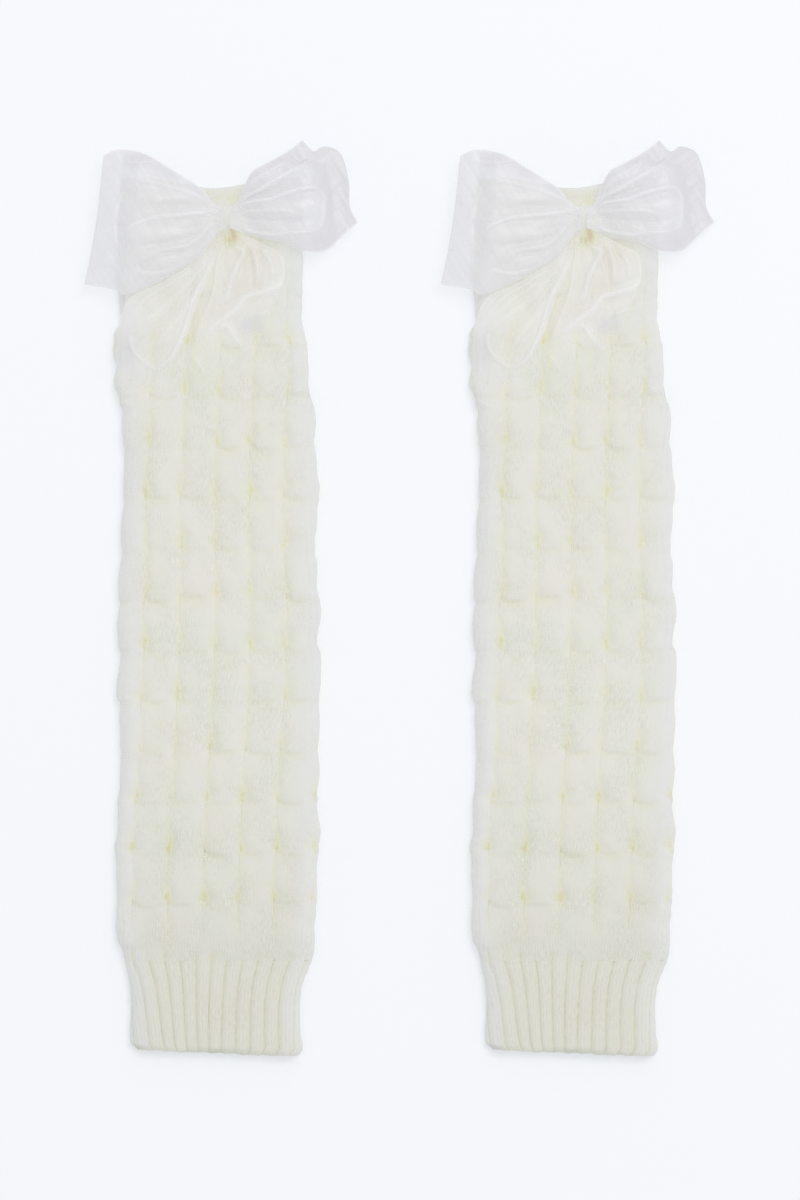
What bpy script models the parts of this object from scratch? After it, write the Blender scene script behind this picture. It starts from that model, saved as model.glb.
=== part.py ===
"""A pair of long knitted leg warmers with sheer ribbon bows, laid flat side by side.

Each leg warmer lies on its back panel. In its own frame x runs across the leg, y runs from the lower edge of
the ribbed cuff to the top edge, and z rises from the surface that it lies on. All sizes are in metres.
"""

import math

import bmesh
import bpy
from mathutils import Vector

MM = 0.001

# The pair
LEG_PITCH = 178 * MM
LEG_NAMES = ("left", "right")
BOW_REACH_LEFT = 66.7 * MM
BOW_REACH_RIGHT = 69.5 * MM

# The knitted tube, which lies flat with its front panel on its back panel
CUFF_LENGTH = 48 * MM
BODY_TOP = 429 * MM
BAND_TOP = 434.5 * MM
SEAM_GAP = 0.3 * MM
KNIT_WALL = 3 * MM
PANEL_GAP = 0.8 * MM
SIDE_FOLD_RADIUS = 1.2 * MM
SIDE_FOLD_EASE = 12 * MM
HALF_DEPTH = KNIT_WALL + PANEL_GAP / 2

# The relief: puffed cables on the body, ribs on the cuff, a plain band at the top
CABLES_AROUND = 11
CABLE_RELIEF = 4.2 * MM
CABLE_SHARPNESS = 2.6
CABLE_WAIST = 0.72
CABLE_SAG = 0.75
CROSSING_RELIEF = 0.42
FIRST_CROSSING = 78 * MM
CROSSING_PITCH = 25.4 * MM
LAST_CROSSING = FIRST_CROSSING + 13 * CROSSING_PITCH
DITCH_X = -1.5 * MM
DITCH_Y = 281.5 * MM
DITCH_SLOPE = 0.041
RIBS_AROUND = 24
RIB_RELIEF = 2 * MM
RIB_SHARPNESS = 2.2
RIB_LEAN = 8 * MM
RIB_LEAN_REACH = 34 * MM
RIB_LEAN_HOLD = 16 * MM
BAND_RELIEF = 0.8 * MM
SILHOUETTE_SHARE = 0.8
HEM_SLANT = 3.5 * MM
HEM_SLANT_REACH = 22 * MM
TOP_LIFT = 5 * MM
TOP_DIP_X = -2 * MM
TOP_DIP_REACH = 34 * MM
TOP_LIFT_START = 395 * MM
BACK_PANEL_RISE = 1.5 * MM

# Outline of one leg seen from above, in millimetres: the height along the leg and the two side edges
OUTLINE_MM = (
    # y, left, right
    (0, -42.0, 42.0),
    (10, -43.0, 42.4),
    (30, -43.6, 42.6),
    (39, -44.4, 43.4),
    (48, -46.8, 46.3),
    (58, -49.2, 49.0),
    (80, -50.2, 50.4),
    (130, -49.7, 50.4),
    (180, -51.0, 51.0),
    (206, -51.5, 51.3),
    (257, -49.2, 49.4),
    (308, -48.6, 49.0),
    (332, -50.5, 46.8),
    (350, -51.5, 44.8),
    (366, -50.5, 42.8),
    (400, -50.0, 42.0),
    (440, -49.5, 41.5),
)

# The bow
RIBBON_WALL = 1.0 * MM
KNOT_CENTRE = (5.0 * MM, 417.5 * MM)
KNOT_HALF_SIZE = (5.0 * MM, 9.2 * MM, 4.6 * MM)
KNOT_SQUARENESS = 0.62
CREST_HEIGHT = 2 * HALF_DEPTH + CABLE_RELIEF
KNOT_HEIGHT = CREST_HEIGHT - 0.3 * MM
LOOP_BACK_HEIGHT = CREST_HEIGHT + 1.9 * MM
LOOP_DROOP = 4 * MM
LOOP_DROOP_REACH = 22 * MM
LOOP_EDGE_DEPTH = 2 * RIBBON_WALL + 0.5 * MM
LOOP_KNOT_DEPTH = 5 * MM
LOOP_PUFF = 8.5 * MM
TAIL_HEIGHT = CREST_HEIGHT + 0.4 * MM
TAIL_ROOT_RISE = 1.4 * MM
TAIL_ROOT_REACH = 0.1
TAIL_DRAPE_X = -46.5 * MM
TAIL_DRAPE_REACH = 10.5 * MM
TAIL_DRAPE_DROP = 7.9 * MM

# The four edges of each ribbon piece seen from above, in millimetres of the leg's own x and y
LOOP_LEFT_MM = {
    "lower": ((-0.4, 410.5), (-9, 400), (-27, 388.5), (-45, 380.7), (-52, 382.8), (-66.7, 385.6)),
    "upper": ((-0.4, 424.5), (-8.5, 434), (-23.5, 443.5), (-36.5, 451), (-49.5, 453), (-57, 450.5)),
    "knot": ((-0.4, 410.5), (-0.4, 424.5)),
    "fold": ((-66.7, 385.6), (-62.3, 408), (-59.5, 427), (-57, 450.5)),
}
LOOP_RIGHT_MM = {
    "lower": ((10.4, 410.5), (22, 409), (32.5, 407), (43, 402.5), (54, 403.2), (62.5, 411), (69.5, 416.7)),
    "upper": ((10.4, 423), (13, 433.5), (17.5, 442), (26.5, 447), (35.7, 452.5), (41.8, 457.5)),
    "knot": ((10.4, 410.5), (10.4, 423)),
    "fold": ((69.5, 416.7), (65.5, 425), (65, 437.5), (61, 451), (53, 454.5), (47.5, 452), (41.8, 457.5)),
}
TAIL_LEFT_MM = {
    "lower": ((-2.8, 407.9), (-14, 396), (-30, 386), (-44, 379), (-51.5, 364), (-53.5, 349), (-52, 337), (-47.5, 327)),
    "upper": ((1.9, 407.9), (-5, 388.5), (-10.5, 376.5), (-14.5, 363.5), (-20.5, 351), (-24, 341), (-25.5, 329)),
    "knot": ((-2.8, 407.9), (1.9, 407.9)),
    "fold": ((-47.5, 327), (-39, 324), (-31, 325), (-25.5, 329)),
}
TAIL_RIGHT_MM = {
    "lower": ((3.6, 407.9), (-2, 390), (-6.5, 377), (-9.5, 366), (-11, 357.5), (-7, 343.5)),
    "upper": ((10.5, 407.9), (22, 406.5), (31.5, 401), (33.5, 391), (30, 380), (25, 369), (22, 361), (20, 354)),
    "knot": ((3.6, 407.9), (10.5, 407.9)),
    "fold": ((-7, 343.5), (-4.5, 356), (2, 361.5), (8, 357), (14, 351.5), (20, 354)),
}

# Gathers that run out from the knot: share across the piece, half-width there, height, start and end along it
LOOP_LEFT_GATHERS = (
    # across, half_width, height_mm, start, end
    (0.20, 0.10, 1.8, 0.15, 0.80),
    (0.43, 0.07, 1.2, 0.05, 0.62),
    (0.60, 0.08, 2.0, 0.02, 0.78),
    (0.80, 0.09, 1.4, 0.05, 0.70),
)
LOOP_RIGHT_GATHERS = (
    # across, half_width, height_mm, start, end
    (0.14, 0.08, 1.4, 0.10, 0.74),
    (0.38, 0.09, 1.8, 0.02, 0.76),
    (0.62, 0.08, 2.0, 0.02, 0.70),
    (0.86, 0.09, 1.6, 0.05, 0.80),
)
TAIL_LEFT_GATHERS = (
    # across, half_width, height_mm, start, end
    (0.34, 0.12, 2.2, 0.18, 0.75),
    (0.62, 0.12, 1.6, 0.05, 0.95),
    (0.90, 0.10, 2.4, 0.05, 0.85),
)
TAIL_RIGHT_GATHERS = (
    # across, half_width, height_mm, start, end
    (0.10, 0.14, 2.6, 0.02, 0.90),
    (0.42, 0.12, 2.0, 0.05, 1.00),
    (0.72, 0.12, 3.0, 0.10, 0.72),
)
LOOP_MARGIN_START = 0.72
LOOP_MARGIN_END = 0.86

# How finely the solids are cut: cables are counted from the ditch nearest the front's middle, towards the right
SIDE_FOLD_CABLES = (2, 3, 8)
UNDERSIDE_CABLES = (4, 5, 6)
UNDERSIDE_RIBS = range(8, 16)
CABLE_STEPS_FINE = (0, 0.17, 0.35, 0.5, 0.65, 0.83)
CABLE_STEPS_TOP = (0, 0.2, 0.5, 0.8)
CABLE_STEPS_FLAT = (0,)
CROSSING_STEPS = (0, 0.22, 0.78)
INNER_BODY_ROWS = (62 * MM, 130 * MM, 206 * MM, 257 * MM, 308 * MM, 338 * MM, 366 * MM)
RIB_STEPS_TOP = (0, 0.25, 0.5, 0.75)
LOOP_STATIONS = 12
LOOP_STEPS = (0.0, 0.12, 0.3, 0.48, 0.64, 0.76, 0.87, 1.0)
TAIL_ACROSS = 9
TAIL_ALONG = 9


def clear_scene():
    for item in list(bpy.data.objects):
        bpy.data.objects.remove(item)


def ease(value):
    """Smooth step from 0 to 1."""
    value = min(1.0, max(0.0, value))
    return value * value * (3 - 2 * value)


def dome(share, sharpness):
    """Rounded profile: 1 in the middle of a stretch from -1 to 1, and 0 at its ends."""
    return max(0.0, 1 - abs(share) ** sharpness) ** (1 / sharpness)


def curve_at(points, share):
    """Point on the smooth curve through some points, at a share of its chord length."""
    chords = [math.dist(a, b) for a, b in zip(points, points[1:])]
    along = min(1.0, max(0.0, share)) * sum(chords)
    index = 0
    while index < len(chords) - 1 and along > chords[index]:
        along -= chords[index]
        index += 1
    f = along / chords[index]
    a, b = points[index], points[index + 1]
    before = points[index - 1] if index else tuple(2 * p - q for p, q in zip(a, b))
    after = points[index + 2] if index + 2 < len(points) else tuple(2 * q - p for p, q in zip(a, b))
    return tuple(
        0.5 * (2 * q + (r - p) * f + (2 * p - 5 * q + 4 * r - s) * f * f + (3 * q - p - 3 * r + s) * f ** 3)
        for p, q, r, s in zip(before, a, b, after)
    )


def outline_at(y):
    """Left and right edge of the leg at a height along it."""
    rows = OUTLINE_MM
    index = 0
    while index < len(rows) - 2 and y > rows[index + 1][0] * MM:
        index += 1
    low, high = rows[index], rows[index + 1]
    f = ease((y / MM - low[0]) / (high[0] - low[0]))
    return tuple((p + (q - p) * f) * MM for p, q in zip(low[1:], high[1:]))


def relief_size(y):
    """Height of the relief at a height along the leg: ribs, then cables, then the plain band."""
    rising = RIB_RELIEF + (CABLE_RELIEF - RIB_RELIEF) * ease((y - CUFF_LENGTH) / (18 * MM))
    return rising + (BAND_RELIEF - rising) * ease((y - LAST_CROSSING - 10 * MM) / (BODY_TOP - LAST_CROSSING - 10 * MM))


def base_edges(y):
    """Side edges of the tube without its relief, so that the relief brings it out to the outline."""
    left, right = outline_at(y)
    inset = SILHOUETTE_SHARE * relief_size(y)
    return left + inset, right - inset


def perimeter(left, right):
    return 2 * (right - left - 2 * HALF_DEPTH) + 2 * math.pi * HALF_DEPTH


def ring_place(left, right, s):
    """Point (x, z) and outward direction of the flat tube's section at arc length s from the middle of its front."""
    r = HALF_DEPTH
    flat = right - left - 2 * r
    arc = math.pi * r
    s = (s + flat / 2) % (2 * flat + 2 * arc)
    if s < flat:
        return left + r + s, 2 * r, 0.0, 1.0
    s -= flat
    if s < arc:
        a = s / r
        return right - r + r * math.sin(a), r + r * math.cos(a), math.sin(a), math.cos(a)
    s -= arc
    if s < flat:
        return right - r - s, 0.0, 0.0, -1.0
    a = (s - flat) / r
    return left + r - r * math.sin(a), r - r * math.cos(a), -math.sin(a), -math.cos(a)


def inner_place(left, right, s):
    """Point of the plain inside at the same arc length: a thin gap that opens at the two side folds."""
    x, _, nx, nz = ring_place(left, right, s)
    lowest, highest = left + HALF_DEPTH, right - HALF_DEPTH
    if abs(nx) > 1e-9:
        centre = highest if nx > 0 else lowest
        return centre + SIDE_FOLD_RADIUS * nx, HALF_DEPTH + SIDE_FOLD_RADIUS * nz
    from_fold = min(x - lowest, highest - x)
    widening = (SIDE_FOLD_RADIUS - PANEL_GAP / 2) * (1 - ease(from_fold / SIDE_FOLD_EASE))
    return x, HALF_DEPTH + nz * (PANEL_GAP / 2 + widening)


def edge_shift(x, z, y):
    """How far a row of the knit is moved along the leg: a slanting cuff edge and a top edge that dips under the bow."""
    hem = HEM_SLANT * (0.5 - x / (84 * MM)) * (1 - ease(y / HEM_SLANT_REACH))
    rise = TOP_LIFT * ease(abs(x - TOP_DIP_X) / TOP_DIP_REACH)
    rise += BACK_PANEL_RISE * (1 - ease(z / (2 * HALF_DEPTH)))
    return hem + rise * ease((y - TOP_LIFT_START) / (BAND_TOP - TOP_LIFT_START))


def crossing_share(y):
    """0 to 1 between one row of cable crossings and the next; the lowest and the highest blocks have their own length."""
    if y < FIRST_CROSSING:
        return (y - CUFF_LENGTH) / (FIRST_CROSSING - CUFF_LENGTH) * 0.75 + 0.25
    if y > LAST_CROSSING:
        return (y - LAST_CROSSING) / (BODY_TOP - LAST_CROSSING) * 0.6
    return (y - FIRST_CROSSING) / CROSSING_PITCH % 1.0


def cable_relief(column, y):
    """Relief of the puffed cables: each is fullest a little below its middle, and narrow and low where it crosses."""
    v = crossing_share(y) ** CABLE_SAG
    full = dome(2 * v - 1, 3.0) if y > FIRST_CROSSING else dome(2 * max(v, 0.5) - 1, 3.0)
    half_width = 0.5 * (CABLE_WAIST + (1 - CABLE_WAIST) * full)
    across = (column % 1.0 - 0.5) / half_width
    height = CROSSING_RELIEF + (1 - CROSSING_RELIEF) * full
    return relief_size(y) * height * dome(min(1.0, abs(across)), CABLE_SHARPNESS)


def rib_relief(rib, y):
    """Relief of the cuff's ribs, which fade a little where they run into the body."""
    fade = 1 - 0.35 * ease((y - 0.8 * CUFF_LENGTH) / (0.2 * CUFF_LENGTH))
    return RIB_RELIEF * fade * dome(2 * (rib % 1.0) - 1, RIB_SHARPNESS)


def rib_lean(s, around, y):
    """How far the cuff's ribs lean to the right round its left fold: most at the lower edge, none on the right."""
    leftward = (-s) % around
    reach = min(leftward, 2 * RIB_LEAN_REACH + RIB_LEAN_HOLD - leftward) / RIB_LEAN_REACH
    return RIB_LEAN * min(1.0, max(0.0, reach)) * max(0.0, 1 - y / CUFF_LENGTH)


def knit_ring(y, shares, relief):
    """Outer and inner points of the tube at one height, for some shares of the way round it."""
    left, right = base_edges(y)
    around = perimeter(left, right)
    start = DITCH_X + DITCH_SLOPE * (y - DITCH_Y) - (left + right) / 2
    outer, inner = [], []
    for share in shares:
        s = share * around + start
        s += rib_lean(s, around, y)
        x, z, nx, nz = ring_place(left, right, s)
        height = relief(share, y)
        outer.append((x + height * nx, y + edge_shift(x, z, y), z + height * max(nz, 0.0)))
        ix, iz = inner_place(left, right, s)
        inner.append((ix, y + edge_shift(ix, iz, y), iz))
    return outer, inner


def closed_rows(bm, rows):
    """Faces between successive closed rings of points, and the rings' vertices."""
    rings = [[bm.verts.new(Vector(p)) for p in row] for row in rows]
    for low, high in zip(rings, rings[1:]):
        bridge(bm, low, high)
    return rings


def bridge(bm, low, high):
    count = len(low)
    for i in range(count):
        j = (i + 1) % count
        bm.faces.new((low[i], low[j], high[j], high[i]))


def walled_tube(name, outer_rows, inner_rows):
    """Mesh of a wall between an outer and an inner skin, both lofted through rings, open at its two ends."""
    bm = bmesh.new()
    outer = closed_rows(bm, outer_rows)
    inner = closed_rows(bm, inner_rows)
    bridge(bm, outer[0], inner[0])
    bridge(bm, outer[-1], inner[-1])
    bmesh.ops.recalc_face_normals(bm, faces=bm.faces)
    mesh = bpy.data.meshes.new(name)
    bm.to_mesh(mesh)
    bm.free()
    return mesh


def column_shares():
    """Shares of the way round the body, close together on the front and at the folds, far apart underneath."""
    steps = {}
    for cable in range(CABLES_AROUND):
        if cable in UNDERSIDE_CABLES:
            steps[cable] = CABLE_STEPS_FLAT
        elif cable in SIDE_FOLD_CABLES:
            steps[cable] = CABLE_STEPS_FINE
        else:
            steps[cable] = CABLE_STEPS_TOP
    return [(cable + step) / CABLES_AROUND for cable in range(CABLES_AROUND) for step in steps[cable]]


def body_mesh():
    """Body of puffed cables between the cuff and the top band."""
    low = CUFF_LENGTH + SEAM_GAP / 2
    high = BODY_TOP - SEAM_GAP / 2
    rows = [low, CUFF_LENGTH + 8 * MM, CUFF_LENGTH + 20 * MM, FIRST_CROSSING - 4 * MM]
    crossings = round((LAST_CROSSING - FIRST_CROSSING) / CROSSING_PITCH)
    for block in range(crossings):
        rows += [FIRST_CROSSING + (block + step) * CROSSING_PITCH for step in CROSSING_STEPS]
    rows += [LAST_CROSSING, LAST_CROSSING + 6 * MM, LAST_CROSSING + 14 * MM, high]
    shares = column_shares()

    def relief(share, y):
        return cable_relief(share * CABLES_AROUND, y)

    outer = [knit_ring(y, shares, relief)[0] for y in rows]
    inner = [knit_ring(y, shares, relief)[1] for y in (low, *INNER_BODY_ROWS, high)]
    return walled_tube("body", outer, inner)


def cuff_mesh():
    """Ribbed cuff, narrower than the body and a little slanted at its lower edge."""
    high = CUFF_LENGTH - SEAM_GAP / 2
    shares = []
    for rib in range(RIBS_AROUND):
        steps = (0,) if rib in UNDERSIDE_RIBS else RIB_STEPS_TOP
        shares += [(rib + step) / RIBS_AROUND for step in steps]

    def relief(share, y):
        return rib_relief(share * RIBS_AROUND, y)

    rows = (0, 8 * MM, 22 * MM, 36 * MM, 43 * MM, high)
    outer = [knit_ring(y, shares, relief)[0] for y in rows]
    inner = [knit_ring(y, shares, relief)[1] for y in (0, high)]
    return walled_tube("cuff", outer, inner)


def top_band_mesh():
    """Plain narrow band that finishes the top edge."""
    low = BODY_TOP + SEAM_GAP / 2
    shares = column_shares()

    def relief(share, y):
        return BAND_RELIEF * (0.6 + 0.4 * dome(2 * (y - low) / (BAND_TOP - low) - 1, 2.0))

    rows = (low, (low + BAND_TOP) / 2, BAND_TOP)
    outer = [knit_ring(y, shares, relief)[0] for y in rows]
    inner = [knit_ring(y, shares, relief)[1] for y in (low, BAND_TOP)]
    return walled_tube("top_band", outer, inner)


def patch_place(edges, across, along):
    """Point seen from above inside the four edges of a ribbon piece, blended from all of them."""
    lower, upper = curve_at(edges["lower"], along), curve_at(edges["upper"], along)
    knot, fold = curve_at(edges["knot"], across), curve_at(edges["fold"], across)
    corners = (edges["lower"][0], edges["upper"][0], edges["lower"][-1], edges["upper"][-1])
    weights = ((1 - across) * (1 - along), across * (1 - along), (1 - across) * along, across * along)
    place = []
    for axis in (0, 1):
        sides = (1 - across) * lower[axis] + across * upper[axis]
        ends = (1 - along) * knot[axis] + along * fold[axis]
        place.append((sides + ends - sum(w * c[axis] for w, c in zip(weights, corners))) * MM)
    return place


def gather_height(gathers, across, along):
    """Height of the gathers that run out from the knot."""
    height = 0.0
    for centre, half_width, size, start, end in gathers:
        ridge = math.exp(-(((across - centre) / half_width) ** 2))
        reach = ease((along - start) / 0.15) * (1 - ease((along - end + 0.15) / 0.15))
        height += size * MM * ridge * reach
    return height


def loop_back(x, y):
    """Height of a loop's back layer, level over the leg and drooping a little past its sides."""
    left, right = outline_at(y)
    outside = max(left - x, x - right, 0.0)
    return LOOP_BACK_HEIGHT - LOOP_DROOP * ease(outside / LOOP_DROOP_REACH)


def loop_depth(gathers, across, along):
    """Depth from a loop's back to its front: gathered at the knot, puffed, then flat up to the fold."""
    at_knot = (LOOP_KNOT_DEPTH - LOOP_EDGE_DEPTH) * (1 - ease(along / 0.2))
    margin = ease((along - LOOP_MARGIN_START) / (LOOP_MARGIN_END - LOOP_MARGIN_START))
    puff = LOOP_PUFF * ease(along / 0.42) * (1 - margin)
    arch = 0.3 + 0.7 * dome(2 * across - 1, 2.2)
    return LOOP_EDGE_DEPTH + at_knot + puff * arch + gather_height(gathers, across, along)


def loop_ring(edges, gathers, across, inset):
    """Section of a loop at one share across the ribbon: out along the back, round the fold, home along the front."""
    reach = math.dist(patch_place(edges, across, 0), patch_place(edges, across, 1))
    pull = inset / reach
    ring = []
    for step in LOOP_STEPS:
        along = pull + (1 - 2 * pull) * step
        x, y = patch_place(edges, across, along)
        ring.append((x, y, loop_back(x, y) + inset))
    for step in reversed(LOOP_STEPS):
        along = pull + (1 - 2 * pull) * step
        x, y = patch_place(edges, across, along)
        ring.append((x, y, loop_back(x, y) + loop_depth(gathers, across, along) - inset))
    return ring


def loop_mesh(name, edges, gathers):
    """One loop of the bow: a wide ribbon folded back to the knot, open at its two selvedges."""
    stations = [i / (LOOP_STATIONS - 1) for i in range(LOOP_STATIONS)]
    outer = [loop_ring(edges, gathers, across, 0.0) for across in stations]
    inner = [loop_ring(edges, gathers, across, RIBBON_WALL) for across in stations]
    return walled_tube(name, outer, inner)


def tail_height(x, y, gathers, across, along):
    """Height of a tail, which lies on the cables and hangs over the side of the leg where it passes it."""
    drape = TAIL_DRAPE_DROP * ease((TAIL_DRAPE_X - x) / TAIL_DRAPE_REACH)
    root = TAIL_ROOT_RISE * across * (1 - ease(along / TAIL_ROOT_REACH))
    return TAIL_HEIGHT - drape + root + gather_height(gathers, across, along)


def tail_mesh(name, edges, gathers):
    """One tail of the bow, as an open sheet to be given its thickness."""
    bm = bmesh.new()
    bmesh.ops.create_grid(bm, x_segments=TAIL_ACROSS - 1, y_segments=TAIL_ALONG - 1, size=0.5)
    for vert in bm.verts:
        across, along = vert.co.x + 0.5, vert.co.y + 0.5
        x, y = patch_place(edges, across, along)
        vert.co = Vector((x, y, tail_height(x, y, gathers, across, along)))
    bmesh.ops.recalc_face_normals(bm, faces=bm.faces)
    if sum(face.normal.z for face in bm.faces) < 0:
        bmesh.ops.reverse_faces(bm, faces=bm.faces)
    mesh = bpy.data.meshes.new(name)
    bm.to_mesh(mesh)
    bm.free()
    return mesh


def knot_mesh():
    """The short band of ribbon that ties the bow, as a squared-off ball."""
    bm = bmesh.new()
    bmesh.ops.create_uvsphere(bm, u_segments=14, v_segments=9, radius=1.0)
    for vert in bm.verts:
        for axis, half in enumerate(KNOT_HALF_SIZE):
            value = vert.co[axis]
            vert.co[axis] = math.copysign(abs(value) ** KNOT_SQUARENESS, value) * half
    mesh = bpy.data.meshes.new("bow_knot")
    bm.to_mesh(mesh)
    bm.free()
    return mesh


def cloth_material(name, colour, roughness, sheen, alpha=1.0):
    material = bpy.data.materials.new(name)
    material.use_nodes = True
    shader = material.node_tree.nodes["Principled BSDF"]
    shader.inputs["Base Color"].default_value = (*colour, 1.0)
    shader.inputs["Metallic"].default_value = 0.0
    shader.inputs["Roughness"].default_value = roughness
    shader.inputs["Sheen Weight"].default_value = sheen
    shader.inputs["Alpha"].default_value = alpha
    return material


def piece_meshes():
    """Each sub-part of one leg warmer: its mesh, its material and where its own origin goes in the leg's frame."""
    knit = (0.76, 0.76, 0.65)
    sheer = (0.78, 0.78, 0.82)
    knot_place = (*KNOT_CENTRE, KNOT_HEIGHT + KNOT_HALF_SIZE[2])
    pieces = {
        "body": (body_mesh(), cloth_material("cable_knit", knit, 0.95, 0.3), (0, 0, 0)),
        "cuff": (cuff_mesh(), cloth_material("rib_knit", knit, 0.95, 0.3), (0, 0, 0)),
        "top_band": (top_band_mesh(), cloth_material("plain_knit", knit, 0.95, 0.3), (0, 0, 0)),
        "bow_knot": (knot_mesh(), cloth_material("sheer_knot", sheer, 0.4, 0.2, 0.8), knot_place),
    }
    for name, edges, gathers in (
        ("bow_loop_left", LOOP_LEFT_MM, LOOP_LEFT_GATHERS),
        ("bow_loop_right", LOOP_RIGHT_MM, LOOP_RIGHT_GATHERS),
    ):
        material = cloth_material(name + "_sheer", sheer, 0.4, 0.2, 0.6)
        pieces[name] = (loop_mesh(name, edges, gathers), material, (0, 0, 0))
    for name, edges, gathers in (
        ("bow_tail_left", TAIL_LEFT_MM, TAIL_LEFT_GATHERS),
        ("bow_tail_right", TAIL_RIGHT_MM, TAIL_RIGHT_GATHERS),
    ):
        material = cloth_material(name + "_sheer", sheer, 0.4, 0.2, 0.6)
        pieces[name] = (tail_mesh(name, edges, gathers), material, (0, 0, 0))
    return pieces


def place_leg(leg, x, y, pieces, collection):
    """One leg warmer: its own objects, which share their meshes with the other leg's, under one empty."""
    frame = bpy.data.objects.new(leg + "_leg", None)
    frame.location = (x, y, 0)
    collection.objects.link(frame)
    for name, (mesh, material, place) in pieces.items():
        if not mesh.materials:
            mesh.materials.append(material)
        mesh.shade_smooth()
        piece = bpy.data.objects.new(f"{leg}_{name}", mesh)
        piece.parent = frame
        piece.location = place
        collection.objects.link(piece)
        if name.startswith("bow_tail"):
            thickness = piece.modifiers.new("ribbon thickness", "SOLIDIFY")
            thickness.thickness = RIBBON_WALL
            thickness.offset = 1.0


def main():
    clear_scene()
    collection = bpy.data.collections.new("leg_warmers")
    bpy.context.scene.collection.children.link(collection)
    pieces = piece_meshes()
    centre_x = (BOW_REACH_RIGHT - BOW_REACH_LEFT) / 2
    bow_top = LOOP_RIGHT_MM["upper"][-1][1] * MM
    for side, leg in zip((-1, 1), LEG_NAMES):
        place_leg(leg, side * LEG_PITCH / 2 - centre_x, -bow_top / 2, pieces, collection)


main()
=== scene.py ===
"""Looks for a pair of knitted leg warmers with sheer ribbon bows, laid flat on a pale surface.

Each leg warmer is made once, in its own frame: x across the leg, y from the lower edge of the cuff to the
top edge and z up from the surface. Shapes are worked out in millimetres and turned into metres when a mesh is
made.
"""

import math

import bpy
import numpy as np
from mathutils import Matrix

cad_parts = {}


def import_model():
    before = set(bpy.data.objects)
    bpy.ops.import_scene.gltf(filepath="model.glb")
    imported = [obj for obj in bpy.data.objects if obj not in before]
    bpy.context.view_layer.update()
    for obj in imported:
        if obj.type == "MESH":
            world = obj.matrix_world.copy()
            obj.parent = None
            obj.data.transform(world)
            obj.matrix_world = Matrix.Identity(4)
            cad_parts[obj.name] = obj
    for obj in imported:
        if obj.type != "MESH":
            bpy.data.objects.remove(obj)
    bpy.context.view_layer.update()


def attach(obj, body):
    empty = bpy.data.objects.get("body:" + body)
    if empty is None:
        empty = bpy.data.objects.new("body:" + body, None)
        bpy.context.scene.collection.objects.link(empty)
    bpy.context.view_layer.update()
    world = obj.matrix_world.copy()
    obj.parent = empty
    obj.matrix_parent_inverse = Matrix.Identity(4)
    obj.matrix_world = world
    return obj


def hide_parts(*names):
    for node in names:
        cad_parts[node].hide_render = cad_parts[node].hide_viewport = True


MM = 0.001

# The pair
LEG_PITCH = 178.0
BOW_REACH_LEFT = 66.7
BOW_REACH_RIGHT = 69.5
BOW_TOP = 457.5

# The knitted tube
CUFF_LENGTH = 48.0
CUFF_WIDTH = 84.0
BODY_TOP = 429.0
BAND_TOP = 434.5
KNIT_WALL = 3.0
PANEL_GAP = 0.8
SIDE_FOLD_RADIUS = 1.2
SIDE_FOLD_EASE = 12.0
HALF_DEPTH = KNIT_WALL + PANEL_GAP / 2
OUTLINE = (
    # y, left, right
    (0, -41.6, 41.0), (4, -43.8, 42.0), (12, -44.0, 40.8), (25, -43.6, 40.4),
    (34, -43.9, 41.3), (39, -44.5, 42.8), (44, -45.6, 44.9), (48, -46.4, 46.6),
    (53, -47.6, 47.6), (58, -50.0, 47.8), (65, -50.6, 47.8), (72, -50.9, 49.6),
    (80, -50.0, 49.6), (94, -50.6, 49.4), (104, -51.2, 50.8), (113, -49.7, 50.9),
    (124, -50.2, 50.6), (136, -48.4, 50.4), (148, -48.5, 51.1), (163, -48.4, 51.4),
    (173, -50.0, 50.9), (182, -50.2, 51.5), (198, -49.1, 51.4), (211, -49.7, 49.7),
    (223, -50.7, 51.4), (229, -49.6, 51.0), (235, -49.4, 48.8), (247, -48.9, 49.2),
    (252, -48.2, 48.0), (259, -48.0, 49.0), (272, -47.9, 49.4), (284, -46.7, 52.0),
    (296, -46.5, 49.3), (310, -47.5, 48.0), (322, -47.7, 48.2), (328, -50.0, 47.1),
    (336, -53.2, 44.4), (345, -51.4, 44.6), (353, -53.3, 45.2), (361, -52.5, 42.7),
    (369, -48.4, 41.1), (377, -49.4, 42.6), (386, -50.6, 41.3), (400, -50.0, 42.0),
    (440, -49.5, 41.5),
)
SILHOUETTE_SHARE = 0.8
HEM_SLANT = 3.5
HEM_SLANT_REACH = 22.0
HEM_WAVE = 0.35
HEM_FRAY = 0.22
EDGE_ROUNDING = 3.4
TOP_LIFT = 5.0
TOP_DIP_X = -2.0
TOP_DIP_REACH = 34.0
TOP_LIFT_START = 395.0
BACK_PANEL_RISE = 0.5

# The puffed cables
CABLES_AROUND = 11
CABLE_RELIEF = 4.2
CROSSINGS = 14
FIRST_CROSSING = 78.0
CROSSING_PITCH = 25.4
LAST_CROSSING = FIRST_CROSSING + (CROSSINGS - 1) * CROSSING_PITCH
RELIEF_RISE = 18.0
RELIEF_FALL_START = LAST_CROSSING + 10
MIDDLE_DITCH = (
    # y, x of the ditch nearest the front's middle
    (48, -8.3), (78, -7.3), (103, -6.8), (128, -5.8), (153, -3.9), (178, -2.5),
    (203, -1.4), (241, -1.0), (278, -1.7), (303, -0.8), (366, 2.0), (434, 4.8),
)
MIDDLE_RIB_DITCH = (
    # y, x
    (0, -13.0),
    (48, -11.1),
)
PATH_SMOOTHING = 8.0
CROSSING_SAG = 2.4
CROSSING_FLOOR = 0.6
CABLE_RISE = 0.2
CABLE_FALL_START = 0.4
CABLE_WIDTH = 17.5
BODY_ROW_STEP = 1.15
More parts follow.
